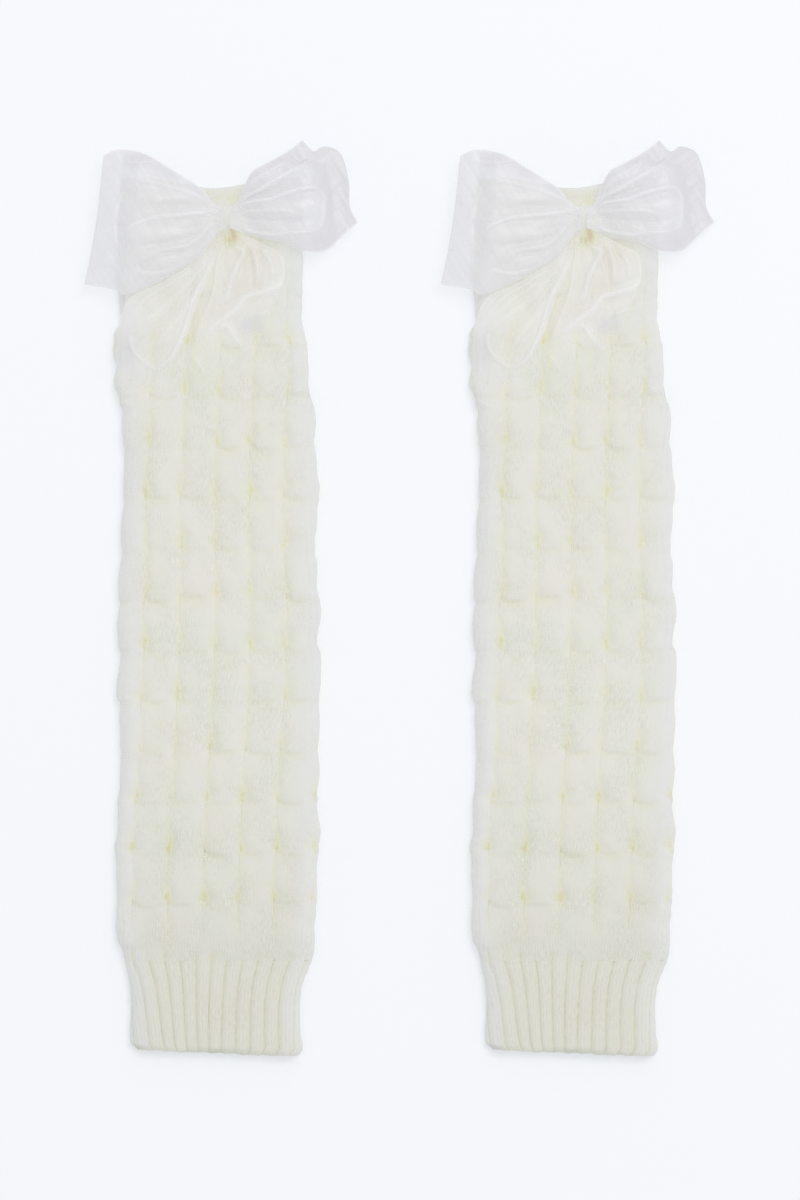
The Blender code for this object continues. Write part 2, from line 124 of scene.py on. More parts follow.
DITCH_HALF_WIDTH = 0.15
DITCH_DEPTH = 0.34
# The line, tint and shade values below set the painted shade of the ditches, diamonds, crossings and strands
DITCH_LINE = 0.5
DITCH_TINT = 1.5
DITCH_SHADE = 0.15
CORE_SHADE = 0.2
DIAMOND_SHADE = 0.18
CROSSING_SHADE = 0.2
STRAND_SHADE = 0.35
DEEPEST_SHADE = 0.8
DIAMOND_HALF_WIDTH = 1.9
DIAMOND_FUZZ = 1.8
DIAMOND_DEPTH = 0.16
DIAMOND_PLACE = 1.5
DIAMOND_REACH_UP = 11.0
DIAMOND_REACH_DOWN = 4.5
DIAMOND_TAPER = 1.1
STRAND_START = 2.4
STRAND_SLOPE = 0.6
STRAND_HALF_WIDTH = 0.7
STRAND_DEPTH = 0.16
SHOULDER = 5.2
DITCH_WOBBLE = 0.8
PLAIN_BLOCK_TOP = 0.55
SHADE_END = 364.0
SHADE_FADE = 14.0
UNDERSIDE_RECESS = 1.0

# The knit drawn in where the knot is sewn on
PUCKER = (6.6, 410.0)
PUCKER_HALF_SIZE = (4.0, 5.4)
PUCKER_DEPTH = 1.6
SEWN_RISE = 1.4
PUCKER_RIDGES = (-3.6, 0.2, 3.4)
PUCKER_RIDGE_HEIGHT = 1.3
PUCKER_REACH = 12.0
# Painted warm shade in the dimple, and spots of painted shade above the knot
PUCKER_SHADE = 1.12
PAINTED_SHADE_ABOVE_KNOT = (
    # strength, x, y, radius_x and radius_y
    (0.12, 2, 431, 14, 4),
    (0.3, 8, 427, 5, 2.5),
)

# The painted shade on the knit that shows in the gap between the two tails
TAIL_GAP_HALF_WIDTH = 1.1
TAIL_GAP_SHADE = 0.46
TAIL_GAP = (
    # y, x
    (342, -12.4),
    (352, -12.0),
    (368, -10.5),
    (384, -7.7),
)

# The ribs of the cuff
RIBS_AROUND = 24
RIB_WIDTH = 7.6
RIB_RELIEF = 2.0
BAND_RELIEF = 0.8
RIB_LEAN = 8.0
RIB_LEAN_REACH = 34.0
RIB_LEAN_HOLD = 16.0
RIB_DITCH_HALF_WIDTH = 0.15
RIB_SHOULDER = 2.3
RIB_LINE = 1.5
RIB_CORE = 0.5
RIB_DEPTH = 0.5
RIB_SHADE = 0.26
RIB_END = 53.0
RIB_END_SPREAD = 3.5
RIB_FADE = 5.0

# Painted light on the side folds and top edge, painted shade along the hem, on the cuff's left side and
# inside
INSIDE_SHADE = 0.1
RIM_REACH = 12.0
TOP_RIM = 3.0
HEM_SHADE_START = 0.9
HEM_SHADE_REACH = 2.6
LEFT_SHADE_REACH = 9.0
LEFT_SHADE_FADE = 22.0

# The stitches
WALES_PER_CABLE = 12
WALES_PER_RIB = 4
COURSE = 1.5

# The bow. Steps count the points across and along a ribbon, and a weave is its pattern's width and length.
KNOT_CENTRE = (4.2, 419.0)
KNOT_HALF_SIZE = (5.0, 6.5, 3.1)
KNOT_BASE = 11.2
KNOT_PLEATS = 11
KNOT_TILT = 0.9
CREST_HEIGHT = 2 * HALF_DEPTH + CABLE_RELIEF
LOOP_BACK_HEIGHT = CREST_HEIGHT + 1.9
LOOP_DROOP = 4.0
LOOP_DROOP_REACH = 22.0
LOOP_EDGE_DEPTH = 2.2
LOOP_KNOT_DEPTH = 5.0
LOOP_PUFF = 8.0
LOOP_MARGIN_START = 0.72
LOOP_MARGIN_END = 0.86
LOOP_STEPS = (116, 104)
LOOP_WEAVE = (66.0, 62.0)
TAIL_HEIGHT = CREST_HEIGHT + 0.9
TAIL_END_SINK = 0.1
TAIL_DRAPE_X = -48.0
TAIL_DRAPE_REACH = 10.5
TAIL_DRAPE_DROP = 6.5
TAIL_STEPS = (90, 150)
TAIL_WEAVE = (45.0, 92.0)
# The ribbon's masks: hems, creases with painted highlight, clear places, and painted grey and tan shade
RIBBON_SHADES = ("hem", "pinch_and_highlight", "clear", "flat", "tan")

# The four edges of each ribbon piece seen from above, as x and y
LOOP_LEFT = {
    "lower": ((3, 413.5), (-1.6, 409.5), (-9, 400), (-27, 388.5), (-45, 380.9), (-52, 383.4), (-66.0, 386)),
    "upper": (
        (3, 423.5), (-1.4, 426), (-8.5, 434), (-23.5, 443.5), (-36.5, 451), (-49.2, 453), (-56.4, 450.5),
    ),
    "knot": ((3, 413.5), (3, 423.5)),
    "fold": ((-66.0, 386), (-61.6, 408), (-58.8, 427), (-56.4, 450.5)),
}
LOOP_RIGHT = {
    "lower": (
        (6.2, 414), (11, 412.3), (22, 409), (32.5, 407), (43, 402.5), (54, 403.2), (62.5, 411), (69.5, 416.7),
    ),
    "upper": ((6.2, 423), (9.5, 426), (13, 433.5), (17.5, 442), (26.5, 447), (35.7, 452.5), (41.8, 457.5)),
    "knot": ((6.2, 414), (6.2, 423)),
    "fold": ((69.5, 416.7), (65.5, 425), (65, 437.5), (61, 451), (53, 454.5), (47.5, 452), (41.8, 457.5)),
}
TAIL_LEFT = {
    "lower": (
        (-0.6, 413), (-3.6, 407), (-14, 396), (-30, 386), (-44, 379),
        (-50.0, 364), (-50.8, 349), (-49.8, 337), (-47.5, 327),
    ),
    "upper": (
        (2.4, 413), (-0.6, 401), (-5, 388.5), (-10.5, 376.5),
        (-14.5, 363.5), (-20.5, 351), (-24, 341), (-25.5, 329),
    ),
    "knot": ((-0.6, 413), (2.4, 413)),
    "fold": ((-47.5, 327), (-39, 324), (-31, 325), (-25.5, 329)),
}
TAIL_RIGHT = {
    "lower": ((1.6, 413), (0.6, 405), (-0.6, 396), (-3, 381), (-8, 368), (-11.5, 359), (-13.5, 351)),
    "upper": (
        (8.6, 413), (13.5, 410.5), (22, 406.5), (31.5, 401), (33.5, 391),
        (30, 380), (25, 369), (22, 361), (20, 356),
    ),
    "knot": ((1.6, 413), (8.6, 413)),
    "fold": ((-13.5, 351), (-6, 340.3), (-1.9, 340), (3.6, 343.4), (11.2, 350.2), (20, 356)),
}

# A crease is a height, half a width and a course, for most from the knot outwards. A puff is a height, and a
# grey or tan spot a strength, then x, y, radius_x and radius_y. A loop's greys start with the strength at its
# fold.
# Grey and tan spots and a loop's grey towards its fold are painted shade; creases and loop puffs get painted
# highlight
LOOP_LEFT_CREASES = (
    (1.7, 1.0, ((-3.1, 421.9), (-14.2, 420.2), (-25.3, 419.1), (-34.5, 417.5), (-42.8, 414), (-45, 411))),
    (1.1, 0.9, ((-3, 416), (-9, 409), (-15, 404.5), (-23.5, 403), (-32.7, 402))),
    (0.9, 0.8, ((-46.5, 433), (-49.8, 424.7), (-51.6, 419), (-50.7, 408), (-50, 399.7))),
    (-1.1, 1.6, ((-4, 424), (-14, 424.6), (-26, 424), (-36, 422))),
    (0.8, 1.1, ((-4, 426), (-12, 430.5), (-22, 433.5), (-34, 436.5), (-44, 438))),
    (-0.9, 1.3, ((-5, 413), (-14, 408.3), (-24, 406.5), (-36, 404.5))),
    (-1.0, 1.2, ((-14, 401), (-24, 400.6), (-34, 397), (-41, 392.5))),
    (0.7, 0.9, ((-13, 397), (-22, 392.8), (-32, 390.5), (-42, 392))),
    (0.6, 0.8, ((-30, 447), (-40, 446), (-50, 447.5))),
)
LOOP_LEFT_PUFFS = (
    (1.5, -31.7, 410.8, 13, 4.2),
    (1.7, -26.5, 397.6, 9.5, 3.6),
    (1, -24, 428.8, 12, 3.6),
)
LOOP_LEFT_GREYS = (
    0.1,
    (0.9, -36, 448, 9, 5),
    (0.9, -22, 442.5, 9, 5),
    (0.7, -10, 434, 6, 5),
)
LOOP_RIGHT_CREASES = (
    (1.5, 1.1, ((9, 426.5), (14.5, 428.8), (21, 432), (26.5, 435.3), (31.1, 438), (40.4, 444.1))),
    (1.7, 1.0, (
        (11, 424.9), (17.3, 426.7), (26.5, 427.6), (33, 430), (39.5, 432), (46.9, 433.5), (51.5, 432.5),
    )),
    (0.9, 1.0, ((51.5, 432.5), (53.5, 428.8), (53.2, 422), (52.5, 416), (50, 411.5))),
    (-1.3, 1.4, ((12, 427), (21, 429.6), (30, 432.6), (38, 437.5), (46, 442.5))),
    (-1.1, 1.3, ((11.7, 419.1), (24.7, 417.3), (37.6, 416.3), (47.8, 417.3))),
    (1.3, 1.0, ((11, 414.5), (17.3, 411.7), (28.4, 409.9), (37.6, 411), (49.6, 411.7))),
    (0.8, 0.9, ((14, 432), (19, 437.5), (26, 441.5), (34, 447))),
    (0.8, 0.9, ((12, 421.8), (22, 421.8), (33, 421.6), (42, 420.3))),
)
LOOP_RIGHT_PUFFS = (
    (1.6, 44.5, 424.5, 8, 4.6),
    (1, 30, 424, 10, 3),
)
LOOP_RIGHT_GREYS = (
    0.9,
    (0.8, 17, 439, 7, 5),
    (0.9, 29, 447, 9, 5),
    (0.9, 42, 452, 9, 6),
    (0.8, 54, 436, 9, 14),
    (0.9, 53, 409, 11, 7),
    (0.42, 32, 428, 16, 10),
)
TAIL_LEFT_CREASES = (
    (1.7, 1.2, ((-8.7, 385.8), (-12.8, 376.9), (-15.6, 366.6), (-19.7, 356.3), (-24.5, 348), (-31.3, 343.6))),
    (0.7, 1.5, ((-4, 402), (-11, 391), (-20, 381), (-30, 372.5), (-39, 366), (-44, 361))),
    (0.6, 1.6, ((-2.5, 398), (-8, 388), (-15, 376), (-23, 365), (-30, 355))),
    (0.9, 1.0, ((-14, 393), (-26, 385), (-37, 378), (-45, 368))),
    (-0.9, 1.2, ((-7, 393), (-15, 381), (-25, 370), (-36, 360), (-40, 351))),
    (0.9, 1.0, ((-44, 361), (-42, 353), (-36, 346.5), (-31.3, 343.6))),
    (0.7, 0.8, ((-25.5, 329), (-28, 326.5), (-32, 325))),
)
TAIL_LEFT_PUFFS = (
    (1.3, -31, 365, 10, 9),
    (1, -33, 335, 9, 5),
)
TAIL_LEFT_GREYS = (
    (1, -46, 353, 7, 12),
    (0.6, -36, 340, 8, 6),
)
TAIL_LEFT_TAN_SHADES = (
    (0.5, -23, 376, 5, 12),
    (0.4, -30, 352, 7, 6),
)
TAIL_RIGHT_CREASES = (
    (1.3, 1.4, ((8, 405), (13.2, 402.3), (9.8, 395.4), (6.4, 387), (5, 380.4), (0.2, 374.9))),
    (1.5, 1.9, (
        (33, 386), (23.5, 382.4), (13.9, 379.7), (9.8, 374.2), (3.6, 369.4), (-1.9, 365.3), (-8, 359),
    )),
    (1.3, 0.9, ((31, 375.5), (26.3, 373.5), (19.4, 370.4))),
    (1.0, 1.4, ((0.2, 362.5), (4.3, 365.3), (8.4, 359.8), (13.2, 353.6), (14.6, 350.5))),
    (-1.0, 1.3, ((15, 404), (16.6, 396), (17.3, 386))),
    (1.0, 1.2, ((17, 405), (19.5, 396), (20, 386.5))),
    (0.9, 1.2, ((22, 404), (27, 396), (27, 388))),
    (0.9, 1.1, ((-13.5, 350.9), (-9.4, 346.8), (-6, 340.8))),
)
TAIL_RIGHT_PUFFS = (
    (1, 22, 392, 7, 7),
    (0.8, 2, 355, 8, 6),
)
TAIL_RIGHT_GREYS = (
    (1, 18, 366, 8, 6),
)
TAIL_RIGHT_TAN_SHADES = (
    (1, 18, 400, 10, 7),
    (0.9, 14, 384, 9, 7),
    (0.5, 0, 371, 8, 8),
)

# The view: the photo's frame is 400 by 600 mm on the surface, seen from straight above
FRAME_HEIGHT = 600.0
FRAME_CENTRE = (0.6, -0.25)
LENS = 135.0
SENSOR = 36.0
CREST_LEVEL = 8.0
CAMERA_REACH = 20.0

# The surface and the light
FLOOR_HALF_SIZE = 4.0
FLOOR_DROP = 0.2
WORLD_COLOUR = (0.985, 0.99, 1.0)
WORLD_STRENGTH = 0.72
LAMP_COLOUR = (1.0, 0.99, 0.97)
LAMP_ENERGY = 18.8
LAMP_SIZE = 1.6
LAMP_PLACE = (0.8, 1.0, 2.8)
LAMP_TILT = (-19, 16)


def ease(value):
    """Smooth step from 0 to 1."""
    value = np.clip(value, 0.0, 1.0)
    return value * value * (3 - 2 * value)


def round_rise(value):
    """Quarter circle from 0 to 1."""
    return np.sqrt(1 - (1 - np.clip(value, 0.0, 1.0)) ** 2)


def bump(value):
    """Bell curve: 1 at 0, and almost 0 beyond 2."""
    return np.exp(-value * value)


def wander(value, seed):
    """Smooth, repeatable unevenness from about -1 to 1."""
    waves = ((1.0, 0.5), (2.3, 0.3), (4.9, 0.2))
    return sum(size * np.sin(value * rate + seed * (1.7 + rate)) for rate, size in waves)


# The knitted tube


def outline_at(y):
    """Left and right edge of the leg at some heights along it."""
    table = np.array(OUTLINE, float)
    index = np.clip(np.searchsorted(table[:, 0], y, side="right") - 1, 0, len(table) - 2)
    low, high = table[index], table[index + 1]
    share = ease((y - low[..., 0]) / (high[..., 0] - low[..., 0]))
    left = low[..., 1] + (high[..., 1] - low[..., 1]) * share
    right = low[..., 2] + (high[..., 2] - low[..., 2]) * share
    return left, right


def relief_size(y):
    """Height of the relief along the leg: ribs, then cables, then the plain band."""
    rising = RIB_RELIEF + (CABLE_RELIEF - RIB_RELIEF) * ease((y - CUFF_LENGTH) / RELIEF_RISE)
    fall = ease((y - RELIEF_FALL_START) / (BODY_TOP - RELIEF_FALL_START))
    return rising + (BAND_RELIEF - rising) * fall


def base_edges(y):
    """Side edges of the tube without its relief."""
    left, right = outline_at(y)
    inset = SILHOUETTE_SHARE * relief_size(y)
    return left + inset, right - inset


def ring_place(left, right, s):
    """Points and outward directions of the flat tube's section at arc lengths from its front's middle."""
    r = HALF_DEPTH
    flat = right - left - 2 * r
    arc = math.pi * r
    s = np.mod(s + flat / 2, 2 * flat + 2 * arc)
    right_turn = np.clip((s - flat) / r, 0, math.pi)
    left_turn = np.clip((s - 2 * flat - arc) / r, 0, math.pi)
    front = np.clip(s, 0, flat)
    back = np.clip(s - flat - arc, 0, flat)
    turn = right_turn + left_turn
    x = left + r + front - back + r * np.sin(turn)
    return x, r + r * np.cos(turn), np.sin(turn), np.cos(turn)


def inner_place(left, right, s):
    """Points of the plain inside: a thin gap that opens at the two side folds."""
    x, _, nx, nz = ring_place(left, right, s)
    lowest, highest = left + HALF_DEPTH, right - HALF_DEPTH
    centre = np.clip(x, lowest, highest)
    from_fold = np.minimum(centre - lowest, highest - centre)
    half_gap = PANEL_GAP / 2 + (SIDE_FOLD_RADIUS - PANEL_GAP / 2) * (1 - ease(from_fold / SIDE_FOLD_EASE))
    return centre + half_gap * nx, HALF_DEPTH + half_gap * nz


def edge_shift(x, z, y):
    """The slant of the cuff's edge, and the top edge that dips under the bow."""
    hem = (HEM_SLANT * (0.5 - x / CUFF_WIDTH) + HEM_WAVE * wander(x / 6, 3)) * (1 - ease(y / HEM_SLANT_REACH))
    hem = hem + HEM_FRAY * wander(x / 1.2 + z, 5) * (1 - ease(y / 2))
    rise = TOP_LIFT * ease(np.abs(x - TOP_DIP_X) / TOP_DIP_REACH)
    rise = rise + BACK_PANEL_RISE * (1 - ease(z / (2 * HALF_DEPTH)))
    return hem + rise * ease((y - TOP_LIFT_START) / (BAND_TOP - TOP_LIFT_START))


def rib_lean(s, around, y):
    """How far the ribs lean to the right round the cuff's left fold."""
    leftward = np.mod(-s, around)
    reach = np.minimum(leftward, 2 * RIB_LEAN_REACH + RIB_LEAN_HOLD - leftward) / RIB_LEAN_REACH
    return RIB_LEAN * np.clip(reach, 0, 1) * np.clip(1 - y / CUFF_LENGTH, 0, 1)


def cable_form(share, y):
    """Height of the cables as a part of their full relief, and the painted shade at their ditches and
    crossings.
    """
    column = share * CABLES_AROUND
    cable = np.floor(column)
    phase = column - cable
    ditch = np.round(column)
    level = np.round((y - FIRST_CROSSING) / CROSSING_PITCH)
    sag = CROSSING_SAG * np.sin(math.pi * phase**0.75) * (1 + 0.6 * wander(cable * 2.1 + level * 1.3, 5))
    place = (y - FIRST_CROSSING + sag + 0.5 * wander(cable * 1.3 + y / 40, 9)) / CROSSING_PITCH
    block = np.floor(place)
    v = place - block
    plain = np.clip(-place, 0, 1)
    rise = np.where(block < 0, 1.0, round_rise(v / CABLE_RISE))
    fall = 1 - ease((v - CABLE_FALL_START) / (1 - CABLE_FALL_START))
    fullness = 1 + 0.08 * wander(cable * 3.7 + block * 2.9, 2)
    crossing = np.round(place)
    uneven = np.clip(0.72 + 0.6 * wander(cable * 5.3 + crossing * 3.1, 11), 0.15, 1.2)
    leftward = 1 - 0.7 * ease((phase - 0.4) / 0.4)
    floor = 1 - (1 - CROSSING_FLOOR) * uneven * leftward
    full = floor + (1 - floor) * rise * fall * fullness
    full = np.where(block < 0, np.maximum(full, 0.8 * (1 - ease((1 - plain * 1.6) / 0.6)) + 0.2), full)
    wobble = DITCH_WOBBLE * wander(y / 6 + ditch * 4.1, 7)
    to_ditch = np.minimum(phase, 1 - phase) * CABLE_WIDTH + np.where(phase < 0.5, -wobble, wobble)
    to_ditch = np.maximum(to_ditch, 0)
    above = (y - FIRST_CROSSING) / CROSSING_PITCH - level
    above = above * CROSSING_PITCH - DIAMOND_PLACE + wander(ditch * 1.7 + level * 2.3, 3)
    diamond = np.clip(1 - np.abs(above) / np.where(above > 0, DIAMOND_REACH_UP, DIAMOND_REACH_DOWN), 0, 1)
    diamond = diamond**DIAMOND_TAPER * (level >= 0)
    diamond = diamond * np.clip(0.88 + 0.5 * wander(ditch * 2.3 + level * 1.9, 8), 0.45, 1.35)
    gap = DITCH_HALF_WIDTH + DIAMOND_HALF_WIDTH * diamond
    across = np.sin(math.pi / 2 * np.clip((to_ditch - gap) / SHOULDER, 0, 1))
    depth = DITCH_DEPTH + DIAMOND_DEPTH * diamond
    faint = ease((plain - (1 - PLAIN_BLOCK_TOP)) / PLAIN_BLOCK_TOP * 1.6)
    depth = depth * (1 - 0.85 * faint)
    height = full * (1 - depth * (1 - across))
    tint = 1 - ease((to_ditch - 0.5 * gap) / (DITCH_TINT + DIAMOND_FUZZ * diamond))
    core = 1 - ease((to_ditch - 0.35 * gap) / DITCH_LINE)
    stroke = ease((13 - above) / 6) * np.clip(0.55 + 0.6 * wander(y / 3 + ditch * 3, 1), 0, 1)
    low = 1 + 0.5 * ease((140 - y) / 50)
    # Painted shade in the ditches and diamonds, on a stroke above each diamond, at the crossings and on the
    # strands
    painted_shade = tint * (DITCH_SHADE + DIAMOND_SHADE * low * np.minimum(1.4 * diamond, 1.4))
    painted_shade = painted_shade + CORE_SHADE * core * np.maximum(stroke, diamond)
    crease = np.where(v < 0.5, bump(v / 0.05), bump((1 - v) / 0.12)) * (block >= 0) * uneven
    crease = crease * leftward
    strand = bump((above + STRAND_START + STRAND_SLOPE * phase * CABLE_WIDTH) / STRAND_HALF_WIDTH)
    strand = strand * bump(phase / 0.28) * (level >= 0)
    strand = strand * np.clip(wander(cable * 4.7 + level * 3.7, 6) + 0.35, 0, 1)
    height = height * (1 - STRAND_DEPTH * strand)
    painted_shade = np.maximum(painted_shade, CROSSING_SHADE * crease) * (1 - 0.8 * faint) + STRAND_SHADE * strand
    painted_shade = painted_shade * (1 - 0.75 * ease((y - SHADE_END) / SHADE_FADE))
    top = ease((y - BODY_TOP + 7) / 6)
    return height + (1 - height) * top, np.clip(painted_shade, 0, DEEPEST_SHADE) * (1 - top)


def rib_form(share, y):
    """Height of the ribs as a part of their full relief, and the painted shade at their ditches."""
    rib = share * RIBS_AROUND
    phase = rib - np.floor(rib)
    nearest = np.round(rib)
    end = RIB_END + RIB_END_SPREAD * wander(nearest * 2.7, 4)
    depth = 1 - ease((y - end + RIB_FADE) / RIB_FADE)
    to_ditch = np.minimum(phase, 1 - phase) * RIB_WIDTH + 0.2 * wander(y / 7 + nearest, 6)
    across = np.sin(math.pi / 2 * np.clip((to_ditch - RIB_DITCH_HALF_WIDTH) / RIB_SHOULDER, 0, 1)) ** 0.8
    line = 1 - ease((to_ditch - RIB_DITCH_HALF_WIDTH) / RIB_LINE)
    core = 1 - ease((to_ditch - RIB_DITCH_HALF_WIDTH) / RIB_CORE)
    core = core * np.clip(0.7 + 0.5 * wander(y / 4 + nearest * 2, 2), 0, 1)
    return 1 - RIB_DEPTH * (1 - across) * depth, (RIB_SHADE * line + RIB_SHADE * core) * depth


def path_at(path, y):
    """Where the ditch nearest the front's middle runs at some heights, as a smooth course through a table."""
    heights, places = np.array(path, float).T
    return sum(np.interp(y + step, heights, places) for step in (-PATH_SMOOTHING, 0, PATH_SMOOTHING)) / 3


def knit_points(share, y, form):
    """Outer and inner points of the tube for a grid of shares round it and heights, and its painted shade and
    light.
    """
    left, right = base_edges(y)
    around = 2 * (right - left - 2 * HALF_DEPTH) + 2 * math.pi * HALF_DEPTH
    path = MIDDLE_RIB_DITCH if form is rib_form else MIDDLE_DITCH
    s = share * around + path_at(path, y) - (left + right) / 2
    s = s + rib_lean(s, around, y)
    x, z, nx, nz = ring_place(left, right, s)
    height, painted_shade = form(share, y)
    if form is cable_form:
        to_ribs = (path_at(MIDDLE_DITCH, y) - path_at(MIDDLE_RIB_DITCH, y)) / around
        ribs, rib_painted_shade = rib_form(share + to_ribs, y)
        height = height * ribs
        painted_shade = np.maximum(painted_shade, rib_painted_shade)
    rounding = round_rise((y + 0.3) / EDGE_ROUNDING)
    drawn, warm = pucker_form(x, y)
    front = nz > 0
    height = relief_size(y) * height * rounding + drawn * front
    painted_shade = np.maximum(painted_shade, warm * front)
    under = np.clip(-nz, 0, 1)
    recess = UNDERSIDE_RECESS * under * painted_shade
    outer = np.stack((x + height * nx, y + edge_shift(x, z, y), z + height * np.clip(nz, 0, 1) + recess), -1)
    ix, iz = inner_place(left, right, s)
    inner = np.stack((ix, y + edge_shift(ix, iz, y), iz), -1)
    from_rim = np.minimum(x - left, right - x)
    # rim: painted cool light on the side folds and along the top edge
    rim = np.maximum(1 - ease(from_rim / RIM_REACH), ease((y - BAND_TOP + TOP_RIM) / TOP_RIM)) * front
    # hem: painted shade along the rounded lower edge, patchy across the cuff
    hem = 1 - ease((y - HEM_SHADE_START) / (HEM_SHADE_REACH * (1 + 0.6 * wander(x / 8, 12))))
    patchy = 0.3 + 0.25 * wander(x / 5, 13) + 0.7 * bump((x - 2) / 11) + 0.8 * bump((x + 43) / 6)
    hem = hem * np.clip(patchy, 0, 1.2)
    # Painted shade on the cuff's left side
    painted_left_shade = (1 - ease((x - left) / LEFT_SHADE_REACH)) * (1 - ease((y - CUFF_LENGTH) / LEFT_SHADE_FADE)) * front
    return outer, inner, {"painted_shade": painted_shade, "rim": rim, "hem": np.clip(hem, 0, 1), "painted_left_shade": painted_left_shade}


def pucker_form(x, y):
    """Height of the dimple below the knot with the small ridges that run down from it, and its painted warm
    shade.
    """
    down = PUCKER[1] - y
    hole = bump(np.hypot((x - PUCKER[0]) / PUCKER_HALF_SIZE[0], down / PUCKER_HALF_SIZE[1]))
    reach = ease((down + 2) / 3) * (1 - ease((down - 2) / PUCKER_REACH))
    ridges = sum(bump((x - PUCKER[0] + 2.2 - place * (0.5 + down / 14)) / 0.8) for place in PUCKER_RIDGES)
    between = reach * (1 - np.minimum(ridges, 1)) * bump((x - PUCKER[0] + 2) / 6)
    # Painted shade above the knot and in the gap between the tails
    above = spots(x, y, PAINTED_SHADE_ABOVE_KNOT, 1.0)
    gap = bump((x - path_at(TAIL_GAP, y)) / TAIL_GAP_HALF_WIDTH)
    gap = gap * ease((y - TAIL_GAP[0][0] + 1) / 4) * ease((TAIL_GAP[-1][0] + 2 - y) / 6)
    warm = PUCKER_SHADE * hole * (1 - 0.4 * np.minimum(ridges, 1)) + 0.4 * between
    warm = np.clip(warm + above + TAIL_GAP_SHADE * gap, 0, 1)
    sewn = SEWN_RISE * bump(np.hypot((x - KNOT_CENTRE[0]) / 11, (y - KNOT_CENTRE[1] + 3) / 11))
    return sewn + PUCKER_RIDGE_HEIGHT * ridges * reach - PUCKER_DEPTH * hole, warm


def spread(columns):
    """Shares of the way round, from the fractions at which each column has its points."""
    return np.array([(i + f) / len(columns) for i, column in enumerate(columns) for f in column])


def both_sides(near):
    """Fractions of a column on both sides of its middle."""
    return near + (0.5,) + tuple(1 - f for f in reversed(near[1:]))


def wall_mesh(name, outer, inner, shades, wale_at, wales):
    """Mesh of a wall between an outer and an inner skin, with stitch coordinates and painted shade and light
    for its yarn.
    """
    rows, around = outer.shape[:2]
    inner_rows = inner.shape[0]
    points = np.concatenate((outer.reshape(-1, 3), inner.reshape(-1, 3))) * MM
    first = np.arange(around)
    after = (first + 1) % around
    offset = rows * around
    step = np.append(wale_at, wale_at[0] + wales)
    faces = []
    corners = []

    def add_strip(low, high, low_course, high_course, flip):
        quad = np.stack((low + first, low + after, high + after, high + first), -1)
        uv = np.stack((
            np.stack((step[:-1], low_course), -1),
            np.stack((step[1:], np.roll(low_course, -1)), -1),
            np.stack((step[1:], np.roll(high_course, -1)), -1),
            np.stack((step[:-1], high_course), -1),
        ), 1)
        faces.append(quad[:, ::-1] if flip else quad)
        corners.append(uv[:, ::-1] if flip else uv)

    course = outer[..., 1] / COURSE
    for row in range(rows - 1):
        add_strip(row * around, (row + 1) * around, course[row], course[row + 1], False)
    inner_course = inner[..., 1] / COURSE
    for row in range(inner_rows - 1):
        low = offset + row * around
        add_strip(low, low + around, inner_course[row], inner_course[row + 1], True)
    add_strip(0, offset, course[0], course[0] - 1, True)
    add_strip((rows - 1) * around, offset + (inner_rows - 1) * around, course[-1], course[-1] + 1, False)

    mesh = bpy.data.meshes.new(name)
    mesh.from_pydata(points.tolist(), [], np.concatenate(faces).tolist())
    layer = mesh.uv_layers.new(name="stitches")
    layer.data.foreach_set("uv", np.concatenate(corners).astype(np.float32).ravel())
    for label, shade in shades.items():
        attribute = mesh.attributes.new(label, "FLOAT", "POINT")
        # The inside gets a little of each painted shade and light
        values = np.concatenate((shade.ravel(), np.full(inner_rows * around, INSIDE_SHADE)))
        attribute.data.foreach_set("value", values.astype(np.float32))
    mesh.shade_smooth()
    mesh.set_sharp_from_angle(angle=math.radians(75))
    return mesh


def knit_mesh(name, shares, rows, inner_rows, form, wales):
    """Wall of one knitted piece, with a row of points at each height, fewer of them inside."""
    share, y = np.meshgrid(shares, rows)
    outer, _, shades = knit_points(share, y, form)
    share, y = np.meshgrid(shares, inner_rows)
    _, inner, _ = knit_points(share, y, form)
    return wall_mesh(name, outer, inner, shades, shares * wales, wales)


def body_mesh():
    """Puffed cables between the cuff and the band, with most points beside the ditches and the crossings."""
    fine = both_sides((0, 0.012, 0.03, 0.055, 0.085, 0.12, 0.165, 0.22, 0.3, 0.4))
    coarse = (0, 0.03, 0.085, 0.17, 0.3, 0.5, 0.7, 0.83, 0.915, 0.97)
    underneath = range(4, 7)
    shares = spread([coarse if cable in underneath else fine for cable in range(CABLES_AROUND)])
    rows = np.append(np.arange(CUFF_LENGTH, BODY_TOP - BODY_ROW_STEP / 2, BODY_ROW_STEP), BODY_TOP)
    inner_rows = np.array((CUFF_LENGTH, 62, 130, 206, 257, 308, 338, 366, BODY_TOP))
    return knit_mesh("body", shares, rows, inner_rows, cable_form, CABLES_AROUND * WALES_PER_CABLE)


def cuff_mesh():
    """Ribs, with most points beside their ditches and at the lower edge."""
    shares = spread([both_sides((0, 0.03, 0.06, 0.1, 0.16, 0.24, 0.36))] * RIBS_AROUND)
    rows = np.concatenate(((0, 0.15, 0.4, 0.8, 1.3, 2, 3), np.linspace(4, CUFF_LENGTH, 46)))
    inner_rows = np.array((0, CUFF_LENGTH))
    return knit_mesh("cuff", shares, rows, inner_rows, rib_form, RIBS_AROUND * WALES_PER_RIB)


def band_form(share, y):
    """The plain band: one soft roll."""
    across = (y - BODY_TOP) / (BAND_TOP - BODY_TOP)
    height = 1 + 0.25 * np.sin(math.pi * np.clip(across, 0, 1)) - 0.9 * ease((across - 0.6) / 0.4)
    return height + 0 * share, 0 * share


